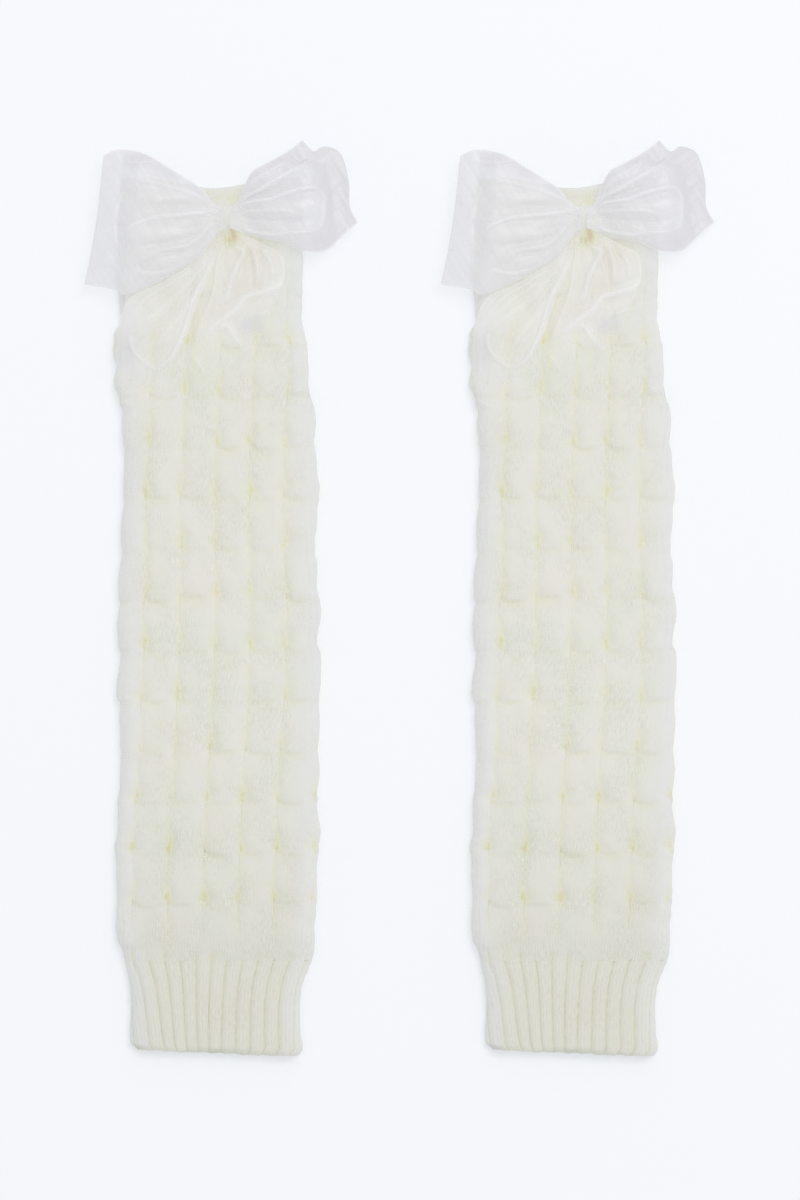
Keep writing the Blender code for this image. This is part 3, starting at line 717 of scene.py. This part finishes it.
def band_mesh():
    """The plain band at the top edge."""
    shares = np.arange(180) / 180
    rows = np.linspace(BODY_TOP, BAND_TOP, 12)
    inner_rows = np.array((BODY_TOP, BAND_TOP))
    return knit_mesh("top_band", shares, rows, inner_rows, band_form, CABLES_AROUND * WALES_PER_CABLE)


# The bow


def curve_at(points, share):
    """Points on the smooth curve through some points, at shares of its chord length."""
    points = np.array(points, float)
    chords = np.hypot(*np.diff(points, axis=0).T)
    ends = np.concatenate(((0,), np.cumsum(chords)))
    along = np.clip(share, 0, 1) * ends[-1]
    index = np.clip(np.searchsorted(ends, along, side="right") - 1, 0, len(chords) - 1)
    f = ((along - ends[index]) / chords[index])[..., None]
    padded = np.concatenate(((2 * points[0] - points[1],), points, (2 * points[-1] - points[-2],)))
    p, q, r, s = (padded[index + k] for k in range(4))
    return 0.5 * (2 * q + (r - p) * f + (2 * p - 5 * q + 4 * r - s) * f**2 + (3 * q - p - 3 * r + s) * f**3)


def patch_place(edges, across, along):
    """Points seen from above inside the four edges of a ribbon piece."""
    lower, upper = curve_at(edges["lower"], along), curve_at(edges["upper"], along)
    knot, fold = curve_at(edges["knot"], across), curve_at(edges["fold"], across)
    corners = (edges["lower"][0], edges["upper"][0], edges["lower"][-1], edges["upper"][-1])
    a, b = across[..., None], along[..., None]
    weights = ((1 - a) * (1 - b), a * (1 - b), (1 - a) * b, a * b)
    place = (1 - a) * lower + a * upper + (1 - b) * knot + b * fold
    place = place - sum(w * np.array(c, float) for w, c in zip(weights, corners))
    return place[..., 0], place[..., 1]


def spots(x, y, table, power=1.5):
    """Height or strength of some oval spots, each of which fades towards its rim."""
    return sum(size * bump(np.hypot((x - cx) / rx, (y - cy) / ry) ** power) for size, cx, cy, rx, ry in table)


def crease_height(x, y, creases):
    """Height of the hand-placed creases at some points."""
    height = np.zeros_like(x)
    for size, half_width, course in creases:
        points = curve_at(course, np.linspace(0, 1, 4 * len(course)))
        chords = np.hypot(*np.diff(points, axis=0).T)
        starts = np.concatenate(((0,), np.cumsum(chords)))
        nearest = np.full_like(x, 1e9)
        place = np.zeros_like(x)
        for i, chord in enumerate(chords):
            (ax, ay), (bx, by) = points[i], points[i + 1]
            t = np.clip(((x - ax) * (bx - ax) + (y - ay) * (by - ay)) / chord**2, 0, 1)
            distance = np.hypot(x - ax - t * (bx - ax), y - ay - t * (by - ay))
            closer = distance < nearest
            nearest = np.where(closer, distance, nearest)
            place = np.where(closer, (starts[i] + t * chord) / starts[-1], place)
        taper = ease(place / 0.18 + 0.25) * ease((1 - place) / 0.22 + 0.15)
        height = height + size * taper * bump(nearest / half_width)
    return height


def loop_back(x, y):
    """Height of a loop's back layer, which droops past the sides of the leg."""
    left, right = outline_at(y)
    outside = np.maximum(np.maximum(left - x, x - right), 0)
    return LOOP_BACK_HEIGHT - LOOP_DROOP * ease(outside / LOOP_DROOP_REACH)


def radial_pleats(across, along, seed):
    """Gathers that fan out from the knot and die away towards the fold."""
    fan = wander(across * 13 + 0.8 * np.sin(along * 3), seed)
    return fan * ease((along + 0.03) / 0.16) * (1 - ease((along - 0.1) / 0.75))


def sheet_mesh(name, points, uv, shades):
    """Mesh of a grid of points, with the ribbon's shades, 0 where not given, and how steeply it stands."""
    rows, columns = points.shape[:2]
    index = np.arange(rows * columns).reshape(rows, columns)
    quads = np.stack((index[:-1, :-1], index[:-1, 1:], index[1:, 1:], index[1:, :-1]), -1).reshape(-1, 4)
    mesh = bpy.data.meshes.new(name)
    mesh.from_pydata((points.reshape(-1, 3) * MM).tolist(), [], quads.tolist())
    layer = mesh.uv_layers.new(name="weave")
    layer.data.foreach_set("uv", uv.reshape(-1, 2)[quads.ravel()].astype(np.float32).ravel())
    along, across = np.gradient(points, axis=(0, 1))
    normal = np.cross(across, along)
    upright = np.abs(normal[..., 2]) / (np.linalg.norm(normal, axis=-1) + 1e-9)
    plain = dict.fromkeys(RIBBON_SHADES, np.zeros(points.shape[:2]))
    for label, values in {**plain, **shades, "steep": 1 - upright}.items():
        attribute = mesh.attributes.new(label, "FLOAT", "POINT")
        attribute.data.foreach_set("value", values.astype(np.float32).ravel())
    mesh.shade_smooth()
    return mesh


def edge_dense(count):
    """Shares from 0 to 1 that lie closer together at both ends."""
    t = np.linspace(0, 1, count)
    return t - 0.11 * np.sin(2 * math.pi * t)


def hem_shade(across, width):
    """1 on a selvedge, and 0 a hem's width away from it."""
    return bump(np.minimum(across, 1 - across) / width)


def loop_mesh(name, edges, creases, puffs, greys, seed):
    """A loop of the bow: a wide sheer ribbon folded back to the knot."""
    across_steps = edge_dense(LOOP_STEPS[0])
    along_steps = np.linspace(0, 1, LOOP_STEPS[1])
    along, across = np.meshgrid(along_steps, across_steps, indexing="ij")
    x, y = patch_place(edges, across, along)
    sewn = 1.5 * (1 - ease(along / 0.35))
    back = loop_back(x, y) - sewn + 0.25 * wander(x / 3 + y / 5, seed)
    margin = ease((along - LOOP_MARGIN_START) / (LOOP_MARGIN_END - LOOP_MARGIN_START))
    at_knot = (LOOP_KNOT_DEPTH - LOOP_EDGE_DEPTH) * (1 - ease(along / 0.2))
    arch = 0.25 + 0.75 * np.clip(1 - np.abs(2 * across - 1) ** 2.4, 0, 1) ** (1 / 2.4)
    puff = LOOP_PUFF * ease(along / 0.42) * (1 - margin) * arch
    depth = LOOP_EDGE_DEPTH + at_knot + puff
    creased = crease_height(x, y, creases)
    puffed = spots(x, y, puffs)
    front = back + depth + (creased + puffed) * (1 - 0.6 * margin)
    front = front + 0.25 * radial_pleats(across, along, seed) + 0.03 * wander(x / 1.7 - y / 2.6, seed + 1)
    front = np.maximum(front, back + 0.8)
    turn = np.linspace(0, math.pi, 7)[1:-1]
    fold_x, fold_y = x[-1], y[-1]
    reach_x, reach_y = fold_x - x[-2], fold_y - y[-2]
    size = np.hypot(reach_x, reach_y) + 1e-9
    radius = (front[-1] - back[-1]) / 2
    bend = []
    for a in turn:
        out = radius * math.sin(a) * 0.5
        height = back[-1] + radius * (1 - math.cos(a))
        bend.append(np.stack((fold_x + reach_x / size * out, fold_y + reach_y / size * out, height), -1))
    points = np.concatenate((
        np.stack((x, y, back), -1),
        np.array(bend),
        np.stack((x, y, front), -1)[::-1],
    ))
    length = np.concatenate((along[:, 0], np.full(len(turn), 1.0), 2 - along[::-1, 0])) * LOOP_WEAVE[1]
    uv = np.stack(np.broadcast_arrays(across_steps[None, :] * LOOP_WEAVE[0], length[:, None]), -1)
    hem = np.broadcast_to(0.4 * hem_shade(across_steps, 0.012)[None, :], points.shape[:2])
    pinch_and_highlight = np.zeros(points.shape[:2])
    # Creases and puffs on the front layer get painted highlight
    pinch_and_highlight[-len(along_steps):] = np.clip(creased / 2.0 + puffed / 4.5, 0, 1)[::-1]
    # flat: painted grey shade, in spots and towards the fold
    greyed = np.clip(greys[0] * margin + spots(x, y, greys[1:]), 0, 1)
    flat = np.full(points.shape[:2], greys[0])
    flat[:len(along_steps)] = greyed
    flat[-len(along_steps):] = greyed[::-1]
    return sheet_mesh(name, points, uv, {"hem": hem, "pinch_and_highlight": pinch_and_highlight, "flat": flat})


def tail_mesh(name, edges, creases, puffs, greys, tans, lift, seed):
    """A tail of the bow, lying on the cables and hanging over the leg's side where it passes it."""
    along, across = np.meshgrid(edge_dense(TAIL_STEPS[1]), edge_dense(TAIL_STEPS[0]), indexing="ij")
    x, y = patch_place(edges, across, along)
    drape = TAIL_DRAPE_DROP * ease((TAIL_DRAPE_X - x) / TAIL_DRAPE_REACH)
    root = 2.0 * (1 - ease(along / 0.12)) * across
    creased = crease_height(x, y, creases)
    laid = TAIL_END_SINK * ease((along - 0.5) / 0.4)
    height = TAIL_HEIGHT + lift - drape - laid + root + creased + spots(x, y, puffs)
    height = height + 0.1 * (1 + radial_pleats(across, along, seed)) + 0.04 * wander(x / 3.1 + y / 4.7, seed)
    points = np.stack((x, y, height), -1)
    uv = np.stack((across * TAIL_WEAVE[0], along * TAIL_WEAVE[1]), -1)
    clear = np.maximum(0.85 * (1 - ease(along / 0.2)), 0.9 * ease((along - 0.6) / 0.35))
    return sheet_mesh(name, points, uv, {
        "hem": 0.35 * hem_shade(across, 0.02) * (1 - clear),
        # Creases get painted highlight
        "pinch_and_highlight": np.clip(creased / 1.8, 0, 1),
        "clear": clear,
        # flat: painted grey shade
        "flat": np.clip(spots(x, y, greys), 0, 1),
        # tan: painted warm shade
        "tan": np.clip(spots(x, y, tans), 0, 1),
    })


def knot_mesh():
    """The short band of ribbon round the middle of the bow, with soft upright pleats."""
    turns = np.linspace(0, 2 * math.pi, 73)
    heights = np.linspace(-1, 1, 33)
    turn, height = np.meshgrid(turns, heights)
    waist = 0.84 + 0.16 * height**2
    end = np.sqrt(np.clip(1 - np.abs(height) ** 4, 0.2, 1))
    ripple = np.sin(KNOT_PLEATS * turn + 1.3 * height)
    pleat = 1 + 0.018 * ripple
    x = KNOT_CENTRE[0] + KNOT_TILT * height + KNOT_HALF_SIZE[0] * np.sin(turn) * waist * end * pleat
    y = KNOT_CENTRE[1] + KNOT_HALF_SIZE[1] * height
    z = KNOT_BASE + KNOT_HALF_SIZE[2] * (1 - np.cos(turn) * waist * end * pleat)
    points = np.stack((x, y, z), -1)
    uv = np.stack((turn * 5, height * 9), -1)
    # The pleats' ridges get painted highlight
    pinch_and_highlight = 0.22 * np.clip(ripple, 0, 1)
    clear = 1 - 0.9 * ((1 - np.cos(turn)) / 2) ** 2
    return sheet_mesh("bow_knot", points, uv, {"pinch_and_highlight": pinch_and_highlight, "clear": clear})


# Materials


class Nodes:
    """Short helper for building a material's nodes."""

    def __init__(self, name):
        self.material = bpy.data.materials.new(name)
        self.material.use_nodes = True
        self.tree = self.material.node_tree
        self.shader = self.tree.nodes["Principled BSDF"]

    def add(self, kind, **settings):
        node = self.tree.nodes.new(kind)
        for key, value in settings.items():
            setattr(node, key, value)
        return node

    def link(self, source, target):
        self.tree.links.new(source, target)

    def feed(self, value, socket):
        """Sets a socket to a number, or links it to another socket."""
        if isinstance(value, (int, float)):
            socket.default_value = value
        else:
            self.link(value, socket)

    def set(self, node, values):
        for name, value in values.items():
            node.inputs[name].default_value = value

    def math(self, operation, a, b=0.0):
        node = self.add("ShaderNodeMath", operation=operation)
        for value, socket in zip((a, b), node.inputs):
            self.feed(value, socket)
        return node.outputs[0]

    def plus(self, a, b):
        return self.math("ADD", a, b)

    def minus(self, a, b):
        return self.math("SUBTRACT", a, b)

    def times(self, a, b):
        return self.math("MULTIPLY", a, b)

    def split(self, vector):
        """The three parts of a vector, by name."""
        node = self.add("ShaderNodeSeparateXYZ")
        self.link(vector, node.inputs[0])
        return node.outputs

    def stretched(self, vector, scale):
        node = self.add("ShaderNodeMapping")
        self.set(node, {"Scale": scale})
        self.link(vector, node.inputs["Vector"])
        return node.outputs["Vector"]

    def attribute(self, name):
        return self.add("ShaderNodeAttribute", attribute_name=name).outputs["Fac"]

    def noise(self, scale, detail=2.0, vector=None, roughness=0.5):
        node = self.add("ShaderNodeTexNoise")
        self.set(node, {"Scale": scale, "Detail": detail, "Roughness": roughness})
        if vector is None:
            vector = self.add("ShaderNodeTexCoord").outputs["Object"]
        self.link(vector, node.inputs["Vector"])
        return node.outputs["Fac"]

    def ramp(self, value, start, end):
        """0 at one value and 1 at another, straight in between."""
        node = self.add("ShaderNodeMapRange")
        self.link(value, node.inputs["Value"])
        self.set(node, {"From Min": start, "From Max": end})
        return node.outputs["Result"]

    def mix(self, factor, a, b, blend="MIX"):
        node = self.add("ShaderNodeMix", data_type="RGBA", blend_type=blend)
        self.feed(factor, node.inputs["Factor"])
        for value, socket in ((a, node.inputs["A"]), (b, node.inputs["B"])):
            if isinstance(value, tuple):
                socket.default_value = (*value, 1.0)
            else:
                self.link(value, socket)
        return node.outputs["Result"]

    def emboss(self, height, strength, distance):
        """Fine relief on the shader's normal, with its depth in metres."""
        node = self.add("ShaderNodeBump")
        self.set(node, {"Strength": strength, "Distance": distance})
        self.link(height, node.inputs["Height"])
        self.link(node.outputs["Normal"], self.shader.inputs["Normal"])


KNIT_CREST = (0.888, 0.882, 0.827)
KNIT_SHADE = (0.864, 0.869, 0.768)
KNIT_LOW = (0.818, 0.818, 0.735)
# Painted cool light on the side folds and the top edge
KNIT_PAINTED_EDGE_LIGHT = (0.875, 0.883, 0.872)
# Painted shade along the lower edge
KNIT_PAINTED_HEM_SHADE = (0.58, 0.59, 0.52)
KNIT_ROSY = (1.0, 0.981, 0.972)
KNIT_GREENISH = (0.973, 0.989, 0.965)
# Painted shade on the cuff's left side
KNIT_PAINTED_LEFT_SHADE = (0.86, 0.875, 0.91)
# Painted warm shade in the ditches, darker at their cores, for the cables and the ribs
KNIT_DITCH_PAINTED_SHADE = (1.0, 0.99, 0.83)
KNIT_CORE_PAINTED_SHADE = (0.91, 0.885, 0.72)
RIB_DITCH_PAINTED_SHADE = (0.96, 0.957, 0.88)
RIB_CORE_PAINTED_SHADE = (0.90, 0.89, 0.78)
# Painted deep shade in the dimple under the knot
KNIT_DEEP_PAINTED_SHADE = (0.75, 0.60, 0.37)
# Painted shade and highlight of the stitches
KNIT_DASH_SHADE = (0.70, 0.69, 0.55)
KNIT_DASH_HIGHLIGHT = (0.99, 0.985, 0.95)
ORGANZA = (0.9, 0.895, 0.922)
# The tails' ribbon colour is brighter than the loops': painted light
ORGANZA_TAIL_PAINTED_LIGHT = (0.99, 0.978, 0.975)
# Painted grey shade on the ribbon
ORGANZA_GREY_SHADE = (0.815, 0.81, 0.85)
# Painted warm shade on the tails
ORGANZA_TAN_SHADE = (0.92, 0.865, 0.80)
# Painted highlight on hems, creases and puffs, where the ribbon is also more solid
ORGANZA_PAINTED_HIGHLIGHT = (0.985, 0.985, 0.995)
LOOP_ALPHA = 0.54
TAIL_ALPHA = 0.4
KNOT_ALPHA = 0.4
CLEARING = 0.31
STEEP_SOLIDITY = 0.22
GREY_SHADE_SOLIDITY = 0.27
PINCH_SOLIDITY = 0.35
CRUMPLE_SOLIDITY = 0.15
WEAVE_SOLIDITY = 0.06
LIGHT_THROUGH = 0.6
FLOOR = (0.805, 0.818, 0.84)
FLOOR_GLOW = (0.22, 0.228, 0.24)

# How fine the patches are: for each metre of yarn and floor, millimetre of ribbon and stitch of the dashes
DRIFT_SCALE = 330.0
CLEAR_PATCH_SCALE = 62.0
FIBRE_SCALE = 2600.0
SHADE_SCALE = 60.0
HUE_SCALE = 42.0
MOTTLE_SCALE = 520.0
FLOOR_SCALE = 3.0
CRUMPLE_SCALE = 0.17
WEAVE_SCALE = 5.5
DASH_STRETCH = (2.1, 0.42, 1.0)
CRUMPLE_STRETCH = (1.0, 0.22, 1.0)

# Heights in metres at which a look of the yarn starts and is complete
RIB_GROOVES = (0.082, 0.046)
LOW_END = (0.16, 0.03)


def knit_material(name, stitch=1.0, wale_groove=0.25, ditch_painted_shade=KNIT_DITCH_PAINTED_SHADE, core_painted_shade=KNIT_CORE_PAINTED_SHADE):
    """Soft matt yarn: stitches of two leaning legs in each wale, shown in patches, and painted warm shade in
    the ditches.
    """
    n = Nodes(name)
    height = n.split(n.add("ShaderNodeTexCoord").outputs["Object"])["Y"]
    near_cuff = n.ramp(height, *RIB_GROOVES)
    low = n.ramp(height, *LOW_END)
    stitches = n.add("ShaderNodeUVMap", uv_map="stitches").outputs["UV"]
    place = n.split(stitches)
    drift = n.times(n.minus(n.noise(DRIFT_SCALE), 0.5), 2.4)
    wale = n.plus(place["X"], n.times(drift, 0.4))
    from_middle = n.math("ABSOLUTE", n.minus(n.math("FRACT", wale), 0.5))
    leg = n.minus(n.plus(place["Y"], drift), n.times(from_middle, 1.5))
    course = n.math("SINE", n.times(leg, 2 * math.pi))
    strand = n.math("SINE", n.times(from_middle, 2 * math.pi))
    groove = n.math("POWER", n.times(from_middle, 2.0), 3.0)
    relief = n.plus(n.times(course, 0.3), n.times(strand, 0.15))
    groove_size = n.plus(n.times(near_cuff, 1.0 - wale_groove), wale_groove)
    relief = n.minus(relief, n.times(groove, groove_size))
    patch = n.ramp(n.noise(CLEAR_PATCH_SCALE), 0.42, 0.62)
    clearness = n.plus(n.times(patch, 0.9), 0.25)
    relief = n.times(relief, clearness)
    relief = n.plus(relief, n.times(n.noise(FIBRE_SCALE, 3.0), 0.5))
    dashes = n.noise(1.0, 1.5, n.stretched(stitches, DASH_STRETCH), 0.6)

    patches = n.times(n.minus(n.noise(SHADE_SCALE, 4.0), 0.3), 2.2)
    yarn = n.mix(patches, KNIT_CREST, KNIT_SHADE)
    yarn = n.mix(low, yarn, KNIT_LOW)
    hue = n.noise(HUE_SCALE)
    yarn = n.mix(n.ramp(hue, 0.52, 0.72), yarn, KNIT_ROSY, "MULTIPLY")
    yarn = n.mix(n.ramp(hue, 0.48, 0.28), yarn, KNIT_GREENISH, "MULTIPLY")
    # Painted shade on the cuff's left side
    yarn = n.mix(n.attribute("painted_left_shade"), yarn, KNIT_PAINTED_LEFT_SHADE, "MULTIPLY")
    # Painted cool light on the side folds and the top edge, where the dashes fade
    yarn = n.mix(n.times(n.attribute("rim"), 0.75), yarn, KNIT_PAINTED_EDGE_LIGHT)
    smooth = n.minus(1.0, n.times(n.attribute("rim"), 0.85))
    shown = n.times(n.times(clearness, 0.34 * stitch), smooth)
    # Painted shade and highlight of the stitches in dark and light dashes, fading at the rims
    yarn = n.mix(n.times(n.ramp(dashes, 0.48, 0.28), shown), yarn, KNIT_DASH_SHADE)
    yarn = n.mix(n.times(n.ramp(dashes, 0.52, 0.72), shown), yarn, KNIT_DASH_HIGHLIGHT)
    # Painted shade in the wale grooves near the cuff
    grooved = n.times(n.times(groove, near_cuff), n.ramp(dashes, 0.75, 0.3))
    yarn = n.mix(n.times(grooved, 0.5), yarn, KNIT_DASH_SHADE)
    mottle = n.plus(n.times(n.noise(MOTTLE_SCALE, 3.0), 1.2), 0.4)
    # Painted warm shade in the ditches, darker at their cores
    painted_shade = n.times(n.attribute("painted_shade"), mottle)
    colour = n.mix(n.ramp(painted_shade, 0.0, 0.65), yarn, ditch_painted_shade, "MULTIPLY")
    colour = n.mix(n.ramp(painted_shade, 0.45, 0.85), colour, core_painted_shade, "MULTIPLY")
    # Painted deep shade in the dimple under the knot
    colour = n.mix(n.ramp(n.attribute("painted_shade"), 0.82, 1.0), colour, KNIT_DEEP_PAINTED_SHADE)
    # Painted shade along the lower edge
    colour = n.mix(n.times(n.attribute("hem"), n.times(mottle, 0.6)), colour, KNIT_PAINTED_HEM_SHADE)
    n.link(colour, n.shader.inputs["Base Color"])
    n.set(n.shader, {"Roughness": 0.95, "Specular IOR Level": 0.2})
    n.set(n.shader, {"Sheen Weight": 0.25, "Sheen Roughness": 0.6})
    n.emboss(relief, 0.35 * stitch, 0.0005)
    return n.material


def organza_material(name, alpha, main_colour):
    """Sheer crisp ribbon: more solid at its hems, creases and steep places, crumpled and lightly glossy."""
    n = Nodes(name)
    uv = n.add("ShaderNodeUVMap", uv_map="weave").outputs["UV"]
    crumple = n.noise(CRUMPLE_SCALE, 1.5, n.stretched(uv, CRUMPLE_STRETCH), 0.45)
    weave = n.noise(WEAVE_SCALE, 1.0, uv)
    steep = n.times(n.attribute("steep"), n.minus(1.0, n.attribute("clear")))
    pinched_and_highlighted = n.math("MAXIMUM", n.attribute("pinch_and_highlight"), n.attribute("hem"))
    solid = n.plus(alpha, n.times(steep, STEEP_SOLIDITY))
    solid = n.plus(solid, n.times(n.attribute("flat"), GREY_SHADE_SOLIDITY))
    solid = n.plus(solid, n.times(pinched_and_highlighted, PINCH_SOLIDITY))
    solid = n.minus(solid, n.times(n.attribute("clear"), CLEARING))
    solid = n.plus(solid, n.times(n.minus(crumple, 0.5), CRUMPLE_SOLIDITY))
    solid = n.plus(solid, n.times(n.minus(weave, 0.5), WEAVE_SOLIDITY))
    solid = n.math("MINIMUM", n.math("MAXIMUM", solid, 0.04), 0.95)
    light_path = n.add("ShaderNodeLightPath")
    scattered = n.math("MAXIMUM", light_path.outputs["Is Shadow Ray"], light_path.outputs["Is Diffuse Ray"])
    passing = n.minus(1.0, n.times(scattered, LIGHT_THROUGH))
    n.link(n.times(solid, passing), n.shader.inputs["Alpha"])
    # Painted grey and tan shade, and painted highlight on hems, creases and puffs
    colour = n.mix(n.attribute("flat"), main_colour, ORGANZA_GREY_SHADE)
    colour = n.mix(n.attribute("tan"), colour, ORGANZA_TAN_SHADE)
    colour = n.mix(pinched_and_highlighted, colour, ORGANZA_PAINTED_HIGHLIGHT)
    n.link(colour, n.shader.inputs["Base Color"])
    n.set(n.shader, {"Roughness": 0.34, "Specular IOR Level": 0.7, "Sheen Weight": 0.2})
    n.emboss(n.plus(crumple, n.times(weave, 0.05)), 0.35, 0.0016)
    return n.material


def floor_material():
    """A pale lit table, which keeps the shadows faint."""
    n = Nodes("pale_surface")
    shade = n.mix(n.noise(FLOOR_SCALE), FLOOR, tuple(0.995 * c for c in FLOOR))
    n.link(shade, n.shader.inputs["Base Color"])
    n.set(n.shader, {"Roughness": 0.9, "Specular IOR Level": 0.0})
    n.set(n.shader, {"Emission Color": (*FLOOR_GLOW, 1.0), "Emission Strength": 1.0})
    return n.material


# The set


def add_object(name, data, place):
    """A new object in the scene, at a place in metres."""
    thing = bpy.data.objects.new(name, data)
    thing.location = place
    bpy.context.scene.collection.objects.link(thing)
    return thing


def make_legs():
    """Both leg warmers, each of its own pieces, which share their meshes."""
    cable = knit_material("cable_knit_yarn")
    rib = knit_material("rib_knit_yarn", 0.7, 1.0, RIB_DITCH_PAINTED_SHADE, RIB_CORE_PAINTED_SHADE)
    plain = knit_material("plain_knit_yarn", 0.8)
    looped = organza_material("organza_loops", LOOP_ALPHA, ORGANZA)
    # The tails get the brighter colour, painted light
    hanging = organza_material("organza_tails", TAIL_ALPHA, ORGANZA_TAIL_PAINTED_LIGHT)
    knotted = organza_material("organza_knot", KNOT_ALPHA, ORGANZA)
    loop_left = loop_mesh(
        "bow_loop_left", LOOP_LEFT, LOOP_LEFT_CREASES, LOOP_LEFT_PUFFS, LOOP_LEFT_GREYS, seed=1)
    loop_right = loop_mesh(
        "bow_loop_right", LOOP_RIGHT, LOOP_RIGHT_CREASES, LOOP_RIGHT_PUFFS, LOOP_RIGHT_GREYS, seed=2)
    tail_left = tail_mesh(
        "bow_tail_left", TAIL_LEFT, TAIL_LEFT_CREASES, TAIL_LEFT_PUFFS,
        TAIL_LEFT_GREYS, TAIL_LEFT_TAN_SHADES, lift=0.0, seed=3)
    tail_right = tail_mesh(
        "bow_tail_right", TAIL_RIGHT, TAIL_RIGHT_CREASES, TAIL_RIGHT_PUFFS,
        TAIL_RIGHT_GREYS, TAIL_RIGHT_TAN_SHADES, lift=0.6, seed=4)
    pieces = (
        # name, mesh, material, slot
        ("body", body_mesh(), cable, "cable_knit"),
        ("cuff", cuff_mesh(), rib, "rib_knit"),
        ("top_band", band_mesh(), plain, "plain_knit"),
        ("bow_knot", knot_mesh(), knotted, "organza"),
        ("bow_loop_left", loop_left, looped, "organza"),
        ("bow_loop_right", loop_right, looped, "organza"),
        ("bow_tail_left", tail_left, hanging, "organza"),
        ("bow_tail_right", tail_right, hanging, "organza"),
    )
    centre = (BOW_REACH_RIGHT - BOW_REACH_LEFT) / 2
    for side, leg in ((-1, "left"), (1, "right")):
        place = ((side * LEG_PITCH / 2 - centre) * MM, -BOW_TOP / 2 * MM, 0)
        for name, mesh, material, slot in pieces:
            if not mesh.materials:
                mesh.materials.append(material)
            piece = add_object(f"{leg}_{name}_cloth", mesh, place)
            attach(piece, "root")
            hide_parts(f"{leg}_{name}")


def make_floor():
    """The pale surface, just below the pair."""
    mesh = bpy.data.meshes.new("surface")
    half = FLOOR_HALF_SIZE
    corners = ((-half, -half, 0), (half, -half, 0), (half, half, 0), (-half, half, 0))
    mesh.from_pydata(corners, [], ((0, 1, 2, 3),))
    mesh.materials.append(floor_material())
    add_object("surface", mesh, (0, 0, -FLOOR_DROP * MM))


def make_light():
    """Bright even light from all round, with one large soft lamp to the upper right."""
    world = bpy.data.worlds.new("studio")
    world.use_nodes = True
    background = world.node_tree.nodes["Background"]
    background.inputs["Color"].default_value = (*WORLD_COLOUR, 1.0)
    background.inputs["Strength"].default_value = WORLD_STRENGTH
    bpy.context.scene.world = world
    lamp_data = bpy.data.lights.new("soft_lamp", "AREA")
    lamp_data.shape = "DISK"
    lamp_data.size = LAMP_SIZE
    lamp_data.energy = LAMP_ENERGY
    lamp_data.color = LAMP_COLOUR
    lamp = add_object("soft_lamp", lamp_data, LAMP_PLACE)
    lamp.rotation_euler = (math.radians(LAMP_TILT[0]), math.radians(LAMP_TILT[1]), 0)


def make_camera():
    """A camera straight above, whose frame fits at the level of the crests."""
    camera_data = bpy.data.cameras.new("camera")
    camera_data.lens = LENS
    camera_data.sensor_width = SENSOR
    camera_data.clip_end = CAMERA_REACH
    height = FRAME_HEIGHT / 2 / (SENSOR / 2 / LENS) + CREST_LEVEL
    place = (FRAME_CENTRE[0] * MM, FRAME_CENTRE[1] * MM, height * MM)
    bpy.context.scene.camera = add_object("camera", camera_data, place)


def main():
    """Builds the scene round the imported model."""
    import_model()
    bpy.context.scene.view_settings.view_transform = "Standard"
    make_camera()
    make_light()
    make_floor()
    make_legs()


main()
